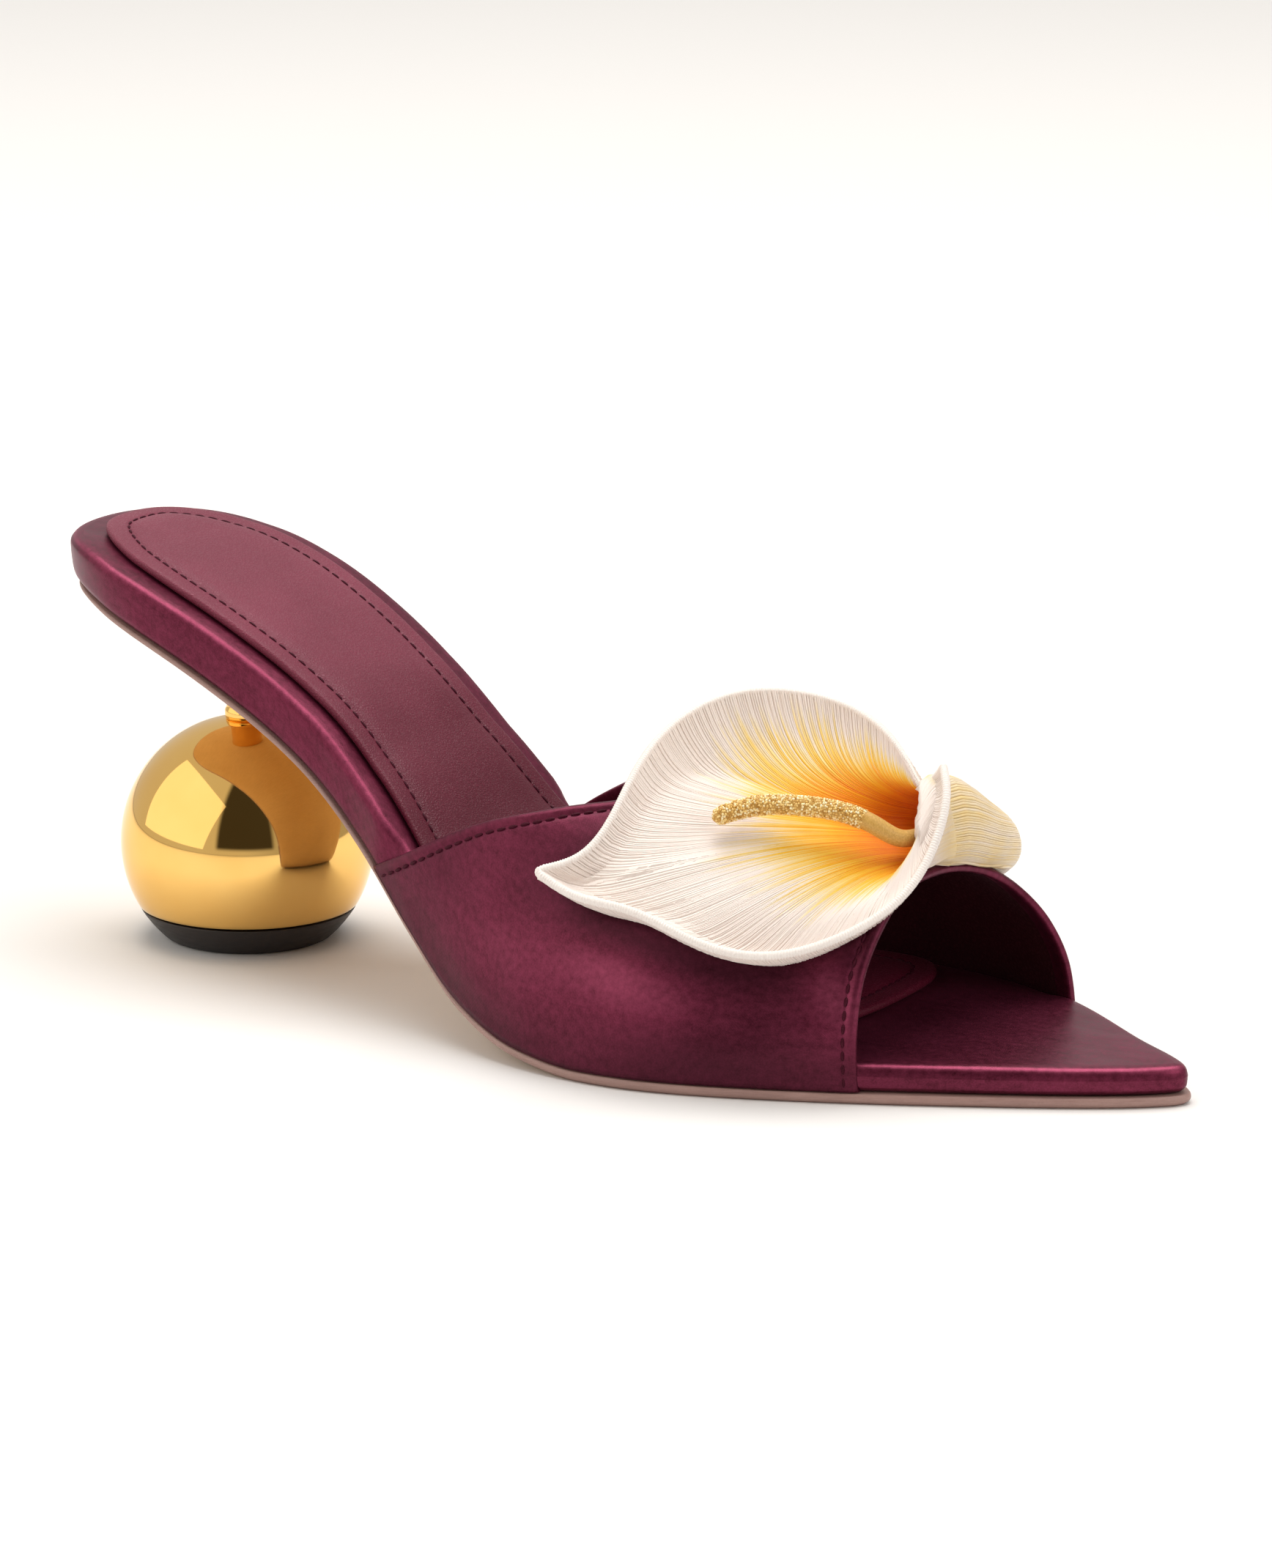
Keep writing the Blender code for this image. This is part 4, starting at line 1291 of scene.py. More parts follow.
@dataclass
class VampBand:
    """Satin band over the foot: folded edges, stitching, soft creases and a dark lining."""

    form: SoleForm
    # Arch: x, crest height, crest side, fullness.
    vamp: Rows = (
        (40.0, 73.0, -4.0, 2.1), (60.0, 63.5, -5.0, 2.1), (80.0, 55.0, -6.0, 2.15),
        (95.0, 49.8, -6.0, 2.15), (110.0, 46.0, -6.0, 2.15), (130.0, 41.0, -5.0, 2.15),
        (150.0, 36.0, -4.0, 2.15), (170.0, 31.0, -2.0, 2.15),
    )
    # Edges: u from the lateral foot (0) over the crest to the medial foot (1), throat x, toe x.
    edges: Rows = (
        (0.0, 49.9, 152.0), (0.1, 61.0, 151.2), (0.2, 73.2, 150.8), (0.3, 88.2, 150.9),
        (0.4, 102.6, 150.7), (0.5, 110.4, 151.4), (0.6, 104.4, 153.0), (0.7, 90.0, 155.4),
        (0.8, 76.0, 159.2), (0.9, 64.0, 161.7), (1.0, 54.0, 162.4),
    )
    wall: float = 1.6
    proud: float = 0.5
    rows: int = 180
    plain_columns: int = 34
    # Distances of the grid's columns from a folded edge.
    fold_columns: tuple[float, ...] = (
        0.0, 0.15, 0.35, 0.65, 1.0, 1.4, 1.8,
        2.1, 2.4, 2.7, 3.0, 3.4, 4.0, 5.0,
    )
    fold_round: float = 1.1
    fold_thin: float = 0.4
    # Folded lip: distance of its crest from the edge, half width, height.
    lip: tuple[float, float, float] = (1.1, 0.8, 0.12)
    stitch_inset: float = 2.4
    stitch_sink: float = 0.22
    channel_width: float = 0.5
    seam: Seam = Seam(2.3, 1.8, 0.64)
    seam_span: Span = (0.012, 0.988)
    seam_points: int = 400
    turn_in: float = 3.9
    # Share of the way round over which relief fades out at the feet.
    calm_feet: float = 0.04
    # Painted shadow under the flower: reach. Painted shade along the feet: reach, strength.
    shade_reach: float = 7.5
    foot_reach: float = 6.0
    foot_shade: float = 0.5
    girth: float = 125.0
    # Share of a crease's or painted patch's height at its ends.
    line_ends: float = 0.35
    # Steps and limits of u and x for slopes that are measured on the face.
    step_x: float = 0.2
    step_u: float = 0.003
    edge_step: float = 0.005
    face_span: Span = (0.004, 0.996)
    edge_span: Span = (0.01, 0.99)
    stretch_span: Span = (0.5, 1.6)
    # Creases: first x and u, last x and u, half width, height (troughs are negative).
    creases: Rows = (
        (62.0, 0.05, 96.0, 0.17, 5.0, -0.35), (98.0, 0.14, 130.0, 0.09, 6.0, 0.35),
        (70.0, 0.02, 110.0, 0.10, 6.0, 0.30), (104.0, 0.03, 138.0, 0.13, 7.0, -0.30),
        (118.0, 0.02, 146.0, 0.07, 5.0, 0.28), (136.0, 0.08, 147.0, 0.32, 4.0, -0.25),
        (80.0, 0.93, 112.0, 0.80, 6.0, -0.35), (96.0, 0.97, 134.0, 0.88, 6.0, 0.30),
        (136.0, 0.74, 150.0, 0.60, 4.5, -0.25),
    )
    # Patches of painted shade, or painted highlight where negative: first x and u, last x and u, half
    # width, strength.
    painted_patches: Rows = (
        (90.0, 0.215, 138.0, 0.170, 8.0, 0.85), (110.0, 0.040, 146.0, 0.050, 7.0, 0.75),
        (58.0, 0.080, 80.0, 0.240, 9.0, 0.40), (66.0, 0.020, 100.0, 0.020, 6.0, 0.35),
        (97.0, 0.145, 129.0, 0.095, 5.5, -0.95), (142.5, 0.220, 149.0, 0.100, 4.0, -1.0),
        (78.0, 0.085, 94.0, 0.080, 6.0, -0.25), (74.0, 0.840, 118.0, 0.880, 8.0, -0.8),
        (118.0, 0.780, 146.0, 0.900, 7.0, 0.5), (140.0, 0.620, 152.0, 0.860, 5.0, -0.6),
    )

    def __post_init__(self) -> None:
        """Work out the curves of the arch and of the edges."""
        self.crest_height = Curve(self.vamp, 1)
        self.crest_side = Curve(self.vamp, 2)
        self.fullness = Curve(self.vamp, 3)
        self.throat = Curve(self.edges, 1)
        self.toe = Curve(self.edges, 2)

    def reach(self, x: Array, side: Array) -> Array:
        """Half width of the section from its crest to its foot on the side of each point."""
        middle = self.crest_side(x)
        near = self.form.half_width(x, Side.LATERAL) + self.proud + middle
        far = self.form.half_width(x, Side.MEDIAL) + self.proud - middle
        return np.where(side < 0.0, near, far)

    def point(self, x: Array, u: Array) -> Array:
        """Points of the band's outer face at stations and shares of the way round."""
        foot = self.form.outsole_top(x) + GAP
        power = 2.0 / self.fullness(x)
        c = np.cos(math.pi * u)
        s = np.maximum(np.sin(math.pi * u), 0.0)
        y = self.crest_side(x) - np.sign(c) * self.reach(x, -c) * np.abs(c) ** power
        z = foot + (self.crest_height(x) - foot) * s ** power
        return np.stack(np.broadcast_arrays(x, y, z), axis=-1)

    def normal(self, x: Array, u: Array) -> Array:
        """Outward unit normals of the band's outer face."""
        low = np.clip(u, *self.face_span)
        along = self.point(x + self.step_x, low) - self.point(x - self.step_x, low)
        around = self.point(x, low + self.step_u) - self.point(x, low - self.step_u)
        normal = unit(np.cross(along, around))
        axis = np.stack(np.broadcast_arrays(x, self.crest_side(x), self.form.outsole_top(x)), axis=-1)
        out = self.point(x, low) - axis
        return normal * np.sign(np.sum(normal * out, axis=-1, keepdims=True))

    def clear(self, points: Array, clearance: float) -> Array:
        """Push points out of the band's section until they lie at least a clearance outside."""
        x, y, z = np.moveaxis(points, -1, 0)
        foot = self.form.outsole_top(x) + GAP
        middle = self.crest_side(x)
        side = y - middle
        power = self.fullness(x)
        wide = np.abs(side) / self.reach(x, side)
        high = np.maximum(z - foot, 0.0) / (self.crest_height(x) - foot)
        size = (wide ** power + high ** power) ** (1.0 / power)
        distance = np.hypot(side, z - foot)
        outside = distance * (1.0 - 1.0 / size)
        grow = np.where(outside >= clearance, 1.0, (distance / size + clearance) / distance)
        return np.stack([x, middle + side * grow, foot + (z - foot) * grow], axis=-1)

    def stretch(self, edge: Curve, u: Array) -> Array:
        """Step in x for one millimetre square to an edge that runs aslant."""
        low = np.clip(u, *self.edge_span)
        after = low + self.edge_step
        before = low - self.edge_step
        ahead = unit(self.point(edge(after), after) - self.point(edge(before), before))
        x = edge(low)
        along = self.point(x + self.step_x, low) - self.point(x - self.step_x, low)
        square = np.linalg.norm(np.cross(along / (2.0 * self.step_x), ahead), axis=-1)
        return np.clip(1.0 / square, *self.stretch_span)

    def marks(self, rows: Rows, x: Array, u: Array) -> Array:
        """Height or strength of listed soft lines on the band.

        Args:
            rows: First x and u, last x and u, half width and height of each line.
            x: Stations of the points.
            u: Shares of the way round of the points.

        Returns:
            The sum of the lines at each point.
        """
        height = np.zeros(np.broadcast(x, u).shape)
        for x0, u0, x1, u1, width, depth in rows:
            line = np.array([x1 - x0, (u1 - u0) * self.girth])
            dx = x - x0
            du = (u - u0) * self.girth
            t = np.clip((dx * line[0] + du * line[1]) / (line @ line), 0.0, 1.0)
            away = np.hypot(dx - t * line[0], du - t * line[1])
            swell = self.line_ends + (1.0 - self.line_ends) * np.sin(math.pi * t)
            height += depth * np.exp(-((away / width) ** 2)) * swell
        return height

    def relief(self, distance: Array) -> Array:
        """Height of the folded lip and of the stitched channel at a distance from the nearest edge."""
        crest, width, height = self.lip
        channel = np.exp(-(((distance - self.stitch_inset) / self.channel_width) ** 2))
        lip = np.exp(-(((distance - crest) / width) ** 2))
        return height * lip - self.stitch_sink * channel

    def build(self, satin: Material, lining: Material, over: Array) -> None:
        """Band as one shell with a satin face, turned in edges and a lining.

        Args:
            satin: Finish of the face.
            lining: Finish of the inside.
            over: Line of the flower's rim, whose painted shadow darkens the satin under it.
        """
        u = np.linspace(0.0, 1.0, self.rows + 1)
        first = self.throat(u)
        last = self.toe(u)
        fold = np.array(self.fold_columns)
        front = first[:, None] + fold * self.stretch(self.throat, u)[:, None]
        back = last[:, None] - fold[::-1] * self.stretch(self.toe, u)[:, None]
        t = np.linspace(0.0, 1.0, self.plain_columns + 2)[None, 1:-1]
        plain = front[:, -1:] * (1.0 - t) + back[:, :1] * t
        x = np.concatenate([front, plain, back], axis=1)
        far = np.full(self.plain_columns, fold[-1])
        distance = np.broadcast_to(np.concatenate([fold, far, fold[::-1]]), x.shape)
        u = np.broadcast_to(u[:, None], x.shape)
        face = self.point(x, u)
        normal = self.normal(x, u)
        feet = ease(np.minimum(u, 1.0 - u) / self.calm_feet)
        edge = np.clip(distance / self.fold_round, 0.0, 1.0)
        share = self.fold_thin + (1.0 - self.fold_thin) * np.sqrt(1.0 - (1.0 - edge) ** 2)
        trim = 0.5 * self.wall * (1.0 - share)
        calm = ease(distance / self.fold_columns[-1])
        rise = (self.relief(distance) + self.marks(self.creases, x, u) * calm) * feet - trim
        outer = face + normal * rise[..., None]
        inner = face - normal * (self.wall - trim)[..., None]
        for wall in (outer, inner):
            for axis in (0, 2):
                wall[[0, -1], :, axis] = face[[0, -1], :, axis]
        cloth = np.stack([x, u * self.girth], axis=-1)
        turned = int(np.searchsorted(fold, self.turn_in))
        draft = Draft()
        draft.grid(outer, cloth)
        draft.grid(inner[:, : turned + 1], cloth[:, : turned + 1])
        draft.grid(inner[:, turned:-turned], cloth[:, turned:-turned], 1)
        draft.grid(inner[:, -turned - 1 :], cloth[:, -turned - 1 :])
        draft.edges(outer, inner, cloth)
        band = draft.build("band_satin", satin, lining)
        self.shade(band, over)
        settle(band, "band", "upper")

    def shade(self, band: Object, over: Array) -> None:
        """Number the band's points with painted shade under the flower's rim and along the feet, and with
        listed patches of painted shade and painted highlight.

        Args:
            band: The band.
            over: Line of the flower's rim.
        """
        points = plan_points(band)
        away = np.min(np.linalg.norm(points[:, None] - over[None], axis=2), axis=1)
        x, y, z = points.T
        base = self.form.outsole_top(x) + GAP
        side = y - self.crest_side(x)
        half = 0.5 * self.fullness(x)
        wide = np.sign(side) * (np.abs(side) / self.reach(x, side)) ** half
        high = (np.maximum(z - base, 0.0) / (self.crest_height(x) - base)) ** half
        u = np.arctan2(high, -wide) / math.pi
        # Painted shadow under the flower's rim, and painted shade along the feet.
        values = np.exp(-((away / self.shade_reach) ** 2))
        values += self.foot_shade * np.exp(-(((z - base) / self.foot_reach) ** 2))
        # Listed patches of painted shade, and painted highlights where negative.
        values += self.marks(self.painted_patches, x, u)
        number_points(band.data, "shade", np.clip(values, -1.0, 1.0))

    def sew(self, needle: Needle) -> None:
        """Sew rows of stitches along both folded edges."""
        u = np.linspace(*self.seam_span, self.seam_points)
        lift = float(self.relief(np.array(self.stitch_inset))) + STITCH_LIFT
        lines = []
        for edge, way in ((self.throat, 1.0), (self.toe, -1.0)):
            x = edge(u) + way * self.stitch_inset * self.stretch(edge, u)
            lines.append(self.point(x, u) + lift * self.normal(x, u))
        needle.sew("band_stitches", lines, self.seam, "band")


@dataclass
class BallHeel:
    """Gold ball on a turned stem, with a black top lift."""

    form: SoleForm
    radius: float = 23.5
    centre: float = 17.9
    lift_top: float = 5.7
    segments: int = 128
    ball_rings: int = 90
    lift_rings: int = 18
    stem_rings: int = 41
    stem_gap: float = 0.05
    # Softened edges of ball, tread and lift: distance in from the edge, height from the flat face.
    ball_edge: Rows = ((0.35, 0.0), (0.1, 0.08))
    tread_edge: Rows = ((0.4, 0.0), (0.15, 0.08))
    lift_edge: Rows = ((0.1, 0.06), (0.4, 0.0))
    # Heights from the flat faces at which the round parts of ball, tread and lift start.
    ball_start: float = 0.25
    tread_start: float = 0.35
    lift_start: float = 0.25
    # Stem: share of its height, radius.
    stem: Rows = (
        (0.0, 3.75), (0.05, 3.95), (0.10, 3.95), (0.14, 3.55), (0.2, 3.6), (0.45, 4.2), (0.75, 5.0),
        (1.0, 5.9),
    )

    def ring(self, radius: Array, z: Array) -> Array:
        """Level rings round the heel's axis, closed by a repeated point."""
        angle = np.linspace(0.0, TURN, self.segments + 1)
        radius, z, angle = np.broadcast_arrays(radius[:, None], z[:, None], angle[None])
        return np.stack([radius * np.cos(angle), radius * np.sin(angle), z], axis=-1)

    def ball_radius(self, z: Array) -> Array:
        """Radius of the ball at a height."""
        return np.sqrt(np.maximum(self.radius ** 2 - (z - self.centre) ** 2, 0.0))

    def build_ball(self, material: Material) -> None:
        """Ball above the top lift, with a softened lower edge."""
        low = self.lift_top + GAP
        first = math.asin((low + self.ball_start - self.centre) / self.radius)
        tilt = np.linspace(first, 0.5 * math.pi, self.ball_rings)
        rim = self.ball_radius(low)
        foot = [(0.0, low)] + [(rim - depth, low + rise) for depth, rise in self.ball_edge]
        ball = np.column_stack([self.radius * np.cos(tilt), self.centre + self.radius * np.sin(tilt)])
        draft = Draft()
        draft.grid(self.ring(*np.vstack([foot, ball]).T))
        settle(draft.build("heel_ball_gold", material), "ball_gold", "heel_ball")

    def build_lift(self, material: Material) -> None:
        """Top lift, the ball's own bottom segment with a flat tread."""
        top = self.lift_top
        z = np.linspace(self.tread_start, top - self.lift_start, self.lift_rings)
        tread = self.ball_radius(0.0)
        rim = self.ball_radius(top)
        foot = [(0.0, 0.0)] + [(tread - depth, rise) for depth, rise in self.tread_edge]
        head = [(rim - depth, top - drop) for depth, drop in self.lift_edge] + [(0.0, top)]
        draft = Draft()
        draft.grid(self.ring(*np.vstack([foot, np.column_stack([self.ball_radius(z), z]), head]).T))
        settle(draft.build("top_lift_rubber", material), "lift", "top_lift")

    def build_stem(self, material: Material) -> None:
        """Turned stem with a ring at its foot, hollowed to the ball and cut to the sole."""
        share = np.linspace(0.0, 1.0, self.stem_rings)
        rings = self.ring(Curve(self.stem, 1)(share), np.zeros(len(share)))
        reach = np.hypot(rings[..., 0], rings[..., 1])
        low = self.centre + np.sqrt((self.radius + self.stem_gap) ** 2 - reach ** 2)
        high = self.form.under(rings[..., 0]) - self.stem_gap
        rings[..., 2] = low + share[:, None] * (high - low)
        draft = Draft()
        draft.tube(rings)
        settle(draft.build("heel_stem_gold", material), "stem_gold", "heel_stem")


class Face(Enum):
    """The two faces of the petal."""

    INNER = "inner"
    OUTER = "outer"


@dataclass
class Calla:
    """Calla flower of laid silk on the band: rolled petal, whipped rim, beaded spadix and leather stalk."""

    band: VampBand
    # Tube centreline from the stalk to the throat: x, y, z, radius.
    tube: Rows = (
        (144.2, 25.4, 30.4, 2.8),
        (148.8, 19.2, 34.0, 3.6),
        (150.9, 10.2, 37.8, 4.5),
        (149.0, 0.0, 42.2, 6.0),
    )
    throat_axis: Place = (-0.62, -0.77, -0.12)
    # Tube's seam in degrees: at the stalk, at the throat, its slit, how far the edge laps; lift of the lap.
    seam_at_stalk: float = 100.0
    seam_at_throat: float = 30.0
    seam_slit: float = 6.0
    lap_angle: float = 25.0
    lap_lift: float = 1.6
    # Angles in degrees over which the lapped edge lifts off the tube.
    lap_start: float = 280.0
    lap_ramp: float = 90.0
    front_spread: float = 1.6
    # Rim from the tucked edge over the raised back side to the tip.
    rim_back: Rows = (
        (144.6, 0.0, 48.4), (138.2, 4.5, 52.6), (129.4, 8.4, 56.7), (119.6, 9.4, 59.0),
        (107.3, 3.5, 59.8), (100.9, -13.5, 54.9), (102.0, -27.6, 47.5), (99.6, -40.0, 37.9),
        (95.0, -44.4, 36.2),
    )
    # Rim from the tip along the low front side to the lapped edge.
    rim_front: Rows = (
        (95.0, -44.4, 36.2), (102.3, -44.4, 33.4), (113.0, -43.3, 32.0), (125.2, -41.2, 27.8),
        (137.0, -37.2, 26.1), (146.6, -29.4, 29.0), (152.4, -20.2, 34.3), (154.0, -12.0, 41.2),
        (152.8, -5.2, 49.4), (149.4, -0.6, 53.0),
    )
    thick: float = 1.1
    tube_steps: int = 4
    # Shares of the way from throat to rim at which a row has points, then the pull of its curve.
    flare: tuple[float, ...] = (0.1, 0.22, 0.35, 0.5, 0.64, 0.78, 0.89, 0.945, 1.0)
    throat_reach: float = 26.0
    throat_bend: float = 0.8
    rim_reach: float = 0.3
    rim_drop: float = 9.0
    drop_reach: float = 40.0
    threads: int = 460
    tube_columns: int = 12
    flare_columns: int = 30
    # Threads: share of their spacing, spread of it, limits of the radius, lift, sway and its turn.
    thread_share: float = 0.54
    thread_spread: Span = (0.85, 1.15)
    thread_radius: Span = (0.05, 0.34)
    thread_lift: float = 0.16
    thread_sway: float = 0.25
    sway_turn: float = 4.0
    thread_sides: int = 4
    # On the outer face only every third thread starts at the stalk; the others start at the throat.
    stalk_threads: int = 3
    # Spread of the threads' tints on the inner and the outer face.
    tint_spread: Span = (0.5, 0.15)
    # Place along the colours for the outer face: at the throat, reach of the yellow, gain to the rim.
    outer_tone: tuple[float, float, float] = (0.41, 0.46, 0.5)
    # Columns of the sheet next to the stalk, which take the outer tone on both faces.
    stalk_columns: int = 2
    rim_points: int = 241
    rim_radius: float = 0.76
    # Cord where it is tucked in: share of its radius, share of the rim; then its share at the stalk.
    rim_tuck: Span = (0.3, 0.09)
    rim_tail: float = 0.45
    rim_sides: int = 14
    whip_pitch: float = 0.5
    whip_depth: float = 0.065
    whip_points: float = 4.0
    shade_points: int = 121
    # How far the yellow runs towards the rim: share of the way round, share of the way out.
    yellow: Rows = (
        (0.0, 0.72), (0.1, 0.87), (0.2, 0.89), (0.3, 0.78), (0.4, 0.64), (0.5, 0.57), (0.6, 0.60),
        (0.7, 0.68), (0.8, 0.64), (0.9, 0.55), (1.0, 0.50),
    )
    # Spadix from inside the throat to its free end: x, y, z, radius.
    spadix: Rows = (
        (150.0, -3.0, 42.6, 1.7), (146.8, -10.5, 42.1, 1.8), (143.7, -13.0, 44.4, 1.9),
        (138.4, -15.0, 46.4, 1.9), (132.0, -18.0, 47.3, 1.9), (124.2, -21.0, 46.8, 1.9),
        (118.6, -26.0, 44.8, 1.7),
    )
    spadix_rings: int = 49
    spadix_turns: int = 25
    spadix_round: float = 0.045
    bead_bed: float = 0.25
    bead_radius: float = 0.24
    bead_spacing: float = 0.3
    bead_seed: int = 7
    # First ring of the rod that has beads.
    bead_start: int = 17
    # Stalk on the medial side of the band: u, x, half width, height.
    stalk: Rows = (
        (0.775, 142.8, 3.2, 5.2), (0.83, 141.2, 3.4, 3.6), (0.89, 139.2, 3.4, 2.8),
        (0.95, 136.6, 3.4, 2.6), (0.995, 134.6, 3.4, 2.4),
    )
    stalk_slant: float = 0.003
    stalk_end: float = 0.997
    # Plug in the tube: radius, depth.
    stalk_plug: Span = (2.3, 3.0)
    stalk_rings: int = 70
    stalk_turns: int = 49
    # Flanges: share of the half width at which they start, thickness, steepness of their edge.
    flange: float = 0.72
    flange_thick: float = 0.55
    flange_edge: float = 8.0
    # Wrinkles: height, turn along the stalk, sway, turn of the sway, steepness at their start.
    wrinkle: float = 0.16
    wrinkle_turn: float = 118.0
    wrinkle_sway: float = 1.4
    wrinkle_sway_turn: float = 31.0
    wrinkle_start: float = 6.0
    # Stitches on the flanges: share of the half width, height, span along the stalk, points.
    stalk_seam: Seam = Seam(1.5, 0.95, 0.5)
    seam_side: float = 0.86
    seam_height: float = 0.62
    seam_span: Span = (0.12, 0.97)
    seam_points: int = 40
    strand_seed: int = 11

    def rim(self, share: float) -> Array:
        """Rim point from the tucked edge (0) over the tip (0.5) to the lapped edge (1)."""
        if share <= 0.5:
            return open_spline(self.rim_back, [share / 0.5])[0]
        return open_spline(self.rim_front, [(share - 0.5) / 0.5])[0]

    def rim_line(self) -> Array:
        """Points along the whole rim."""
        return np.array([self.rim(share) for share in np.linspace(0.0, 1.0, self.shade_points)])

    def row(self, share: float, line: Array, frames: list[tuple[Array, Array, Array]]) -> Array:
        """One line of the petal's inner face from the stalk over the throat to the rim.

        Args:
            share: Share of the way round.
            line: Centreline of the tube with its radius.
            frames: Axis, top and side directions along it.

        Returns:
            The line's points: the tube's rings first, then the flare.
        """
        out = []
        for k, (centre, (_, up, side)) in enumerate(zip(line, frames)):
            open_share = k / self.tube_steps
            seam = self.seam_at_stalk + (self.seam_at_throat - self.seam_at_stalk) * open_share
            if share <= 0.5:
                degrees = seam + 2.0 * share * (180.0 - seam)
            else:
                turn = 180.0 + seam - self.seam_slit + self.lap_angle * open_share
                degrees = 180.0 + (2.0 * share - 1.0) ** self.front_spread * turn
            angle = math.radians(degrees)
            lifted = float(ease((degrees - self.lap_start) / self.lap_ramp))
            radius = centre[3] + self.lap_lift * open_share * lifted
            out.append(centre[:3] + radius * (math.cos(angle) * up + math.sin(angle) * side))
        rim = self.rim(share)
        start = out[-1]
        reach = np.linalg.norm(rim - start)
        way = unit(frames[-1][0] + self.throat_bend * (rim - start) / reach)
        first = start + way * min(self.throat_reach, 0.5 * reach)
        drop = np.array([0.0, 0.0, self.rim_drop * min(reach / self.drop_reach, 1.0)])
        second = rim + self.rim_reach * (first - rim) - drop
        for t in self.flare:
            s = 1.0 - t
            out.append(s ** 3 * start + 3.0 * s * s * t * first + 3.0 * s * t * t * second + t ** 3 * rim)
        return np.array(out)

    def sheet(self, shares: Array) -> tuple[Array, Array, Array]:
        """The petal's inner and outer faces.

        Args:
            shares: Shares of the way round, one for each row.

        Returns:
            Inner face, outer face and, for each column, the share of the way from throat to rim.
        """
        line = open_spline(self.tube, np.arange(self.tube_steps + 1) / self.tube_steps)
        frames = path_frames(line)
        frames[-1] = level_frame(unit(np.array(self.throat_axis)))
        rows = []
        for share in shares:
            points = self.band.clear(self.row(share, line, frames), self.thick + 2.0 * GAP)
            lengths = np.linalg.norm(np.diff(points, axis=0), axis=1)
            throat = lengths[: self.tube_steps].sum() / lengths.sum()
            tube = np.linspace(0.0, throat, self.tube_columns, endpoint=False)
            flare = np.linspace(throat, 1.0, self.flare_columns)
            rows.append(open_spline(points, np.concatenate([tube, flare])))
        inner = self.band.clear(np.array(rows), self.thick + 2.0 * GAP)
        outward = grid_normals(inner)
        middle = open_spline(self.tube, [0.5])[0][:3]
        quarter = len(shares) // 4
        if outward[quarter, 2] @ (inner[quarter, 2] - middle) < 0.0:
            outward = -outward
        outer = self.band.clear(inner + outward * self.thick, GAP)
        along = np.concatenate([np.zeros(self.tube_columns), np.linspace(0.0, 1.0, self.flare_columns)])
        return inner, outer, along

    def build_petal(self, silk: Material, threads: Grower) -> None:
        """Petal sheet with its laid threads on both faces.

        Args:
            silk: Finish of the sheet and the threads.
            threads: Tree that makes threads from lines.
        """
        shares = np.linspace(0.0, 1.0, self.threads + 1)
        inner, outer, along = self.sheet(shares)
        every = slice(None, None, 2)
        front = inner[every]
        back = outer[every]
        draft = Draft()
        draft.grid(front)
        draft.grid(back)
        draft.edges(front, back)
        sheet = draft.build("petal_sheet", silk)
        self.number_sheet(sheet, front, back, along, shares[every])
        settle(sheet, "petal", "flower_spathe")
        faces = {Face.INNER: inner, Face.OUTER: outer}
        for kind, name in ((Face.INNER, "petal_threads"), (Face.OUTER, "petal_back_threads")):
            guide = self.thread_lines(faces, kind, shares, along)
            settle(threads.grow(name, guide, sides=self.thread_sides, finish=silk), "petal")

    def number_sheet(
        self, sheet: Object, front: Array, back: Array, along: Array, shares: Array
    ) -> None:
        """Give the sheet's points the numbers that the silk finish reads, from the nearest grid point.

        Args:
            sheet: The petal's sheet.
            front: Grid of its inner face.
            back: Grid of its outer face.
            along: Share of the way out for each column.
            shares: Share of the way round for each row.
        """
        flat = framed(np.concatenate([front, back]).reshape(-1, 3))
        tree = KDTree(len(flat))
        for i, point in enumerate(flat):
            tree.insert(point, i)
        tree.balance()
        near = np.array([tree.find(v.co)[1] for v in sheet.data.vertices])
        row, column = np.divmod(near, front.shape[1])
        behind = (row >= len(front)) | (column < self.stalk_columns)
        first, reach, gain = self.outer_tone
        values = {
            "along": np.where(behind, first + gain * along[column], along[column]),
            "reach": np.where(behind, reach, Curve(self.yellow, 1)(shares[row % len(front)])),
            "strand": np.full(len(near), 0.5),
        }
        for name, numbers in values.items():
            number_points(sheet.data, name, numbers)

    def thread_lines(
        self, faces: dict[Face, Array], kind: Face, shares: Array, along: Array
    ) -> Mesh:
        """Lines of the threads on one face of the petal, with their thickness, place and tint.

        Args:
            faces: Grids of both faces.
            kind: The face that the threads lie on.
            shares: Share of the way round for each row.
            along: Share of the way out for each column.

        Returns:
            The lines as a guide mesh.
        """
        random = np.random.default_rng(self.strand_seed)
        inside = kind is Face.INNER
        face = faces[kind]
        slope = np.gradient(face, axis=0)
        beside = np.linalg.norm(slope, axis=2)
        out = unit(face - faces[Face.OUTER if inside else Face.INNER])
        yellow = Curve(self.yellow, 1)(shares)
        first, reach, gain = self.outer_tone
        skip = 1 if inside else self.stalk_threads
        spread = self.tint_spread[0 if inside else 1]
        lines = []
        numbers = {"thick": [], "along": [], "reach": [], "strand": []}
        for i in range(1, len(face) - 1):
            start = 0 if i % skip == 0 and not inside else self.tube_columns
            part = slice(start, None)
            way = along[part]
            gap = beside[i, part]
            spacing = np.where(way > 0.0, gap, skip * gap)
            full = self.thread_share * spacing * random.uniform(*self.thread_spread)
            thick = np.clip(full, *self.thread_radius)
            sway = self.thread_sway * gap * np.sin(random.uniform(0.0, TURN) + self.sway_turn * way)
            lift = out[i, part] * (self.thread_lift * thick)[:, None]
            lines.append(face[i, part] + lift + unit(slope[i, part]) * sway[:, None])
            numbers["thick"].append(thick * MM)
            numbers["along"].append(way if inside else first + gain * way)
            numbers["reach"].append(np.full(len(thick), yellow[i] if inside else reach))
            numbers["strand"].append(np.full(len(thick), random.uniform(0.5 - spread, 0.5 + spread)))
        return guide_lines(lines, numbers)

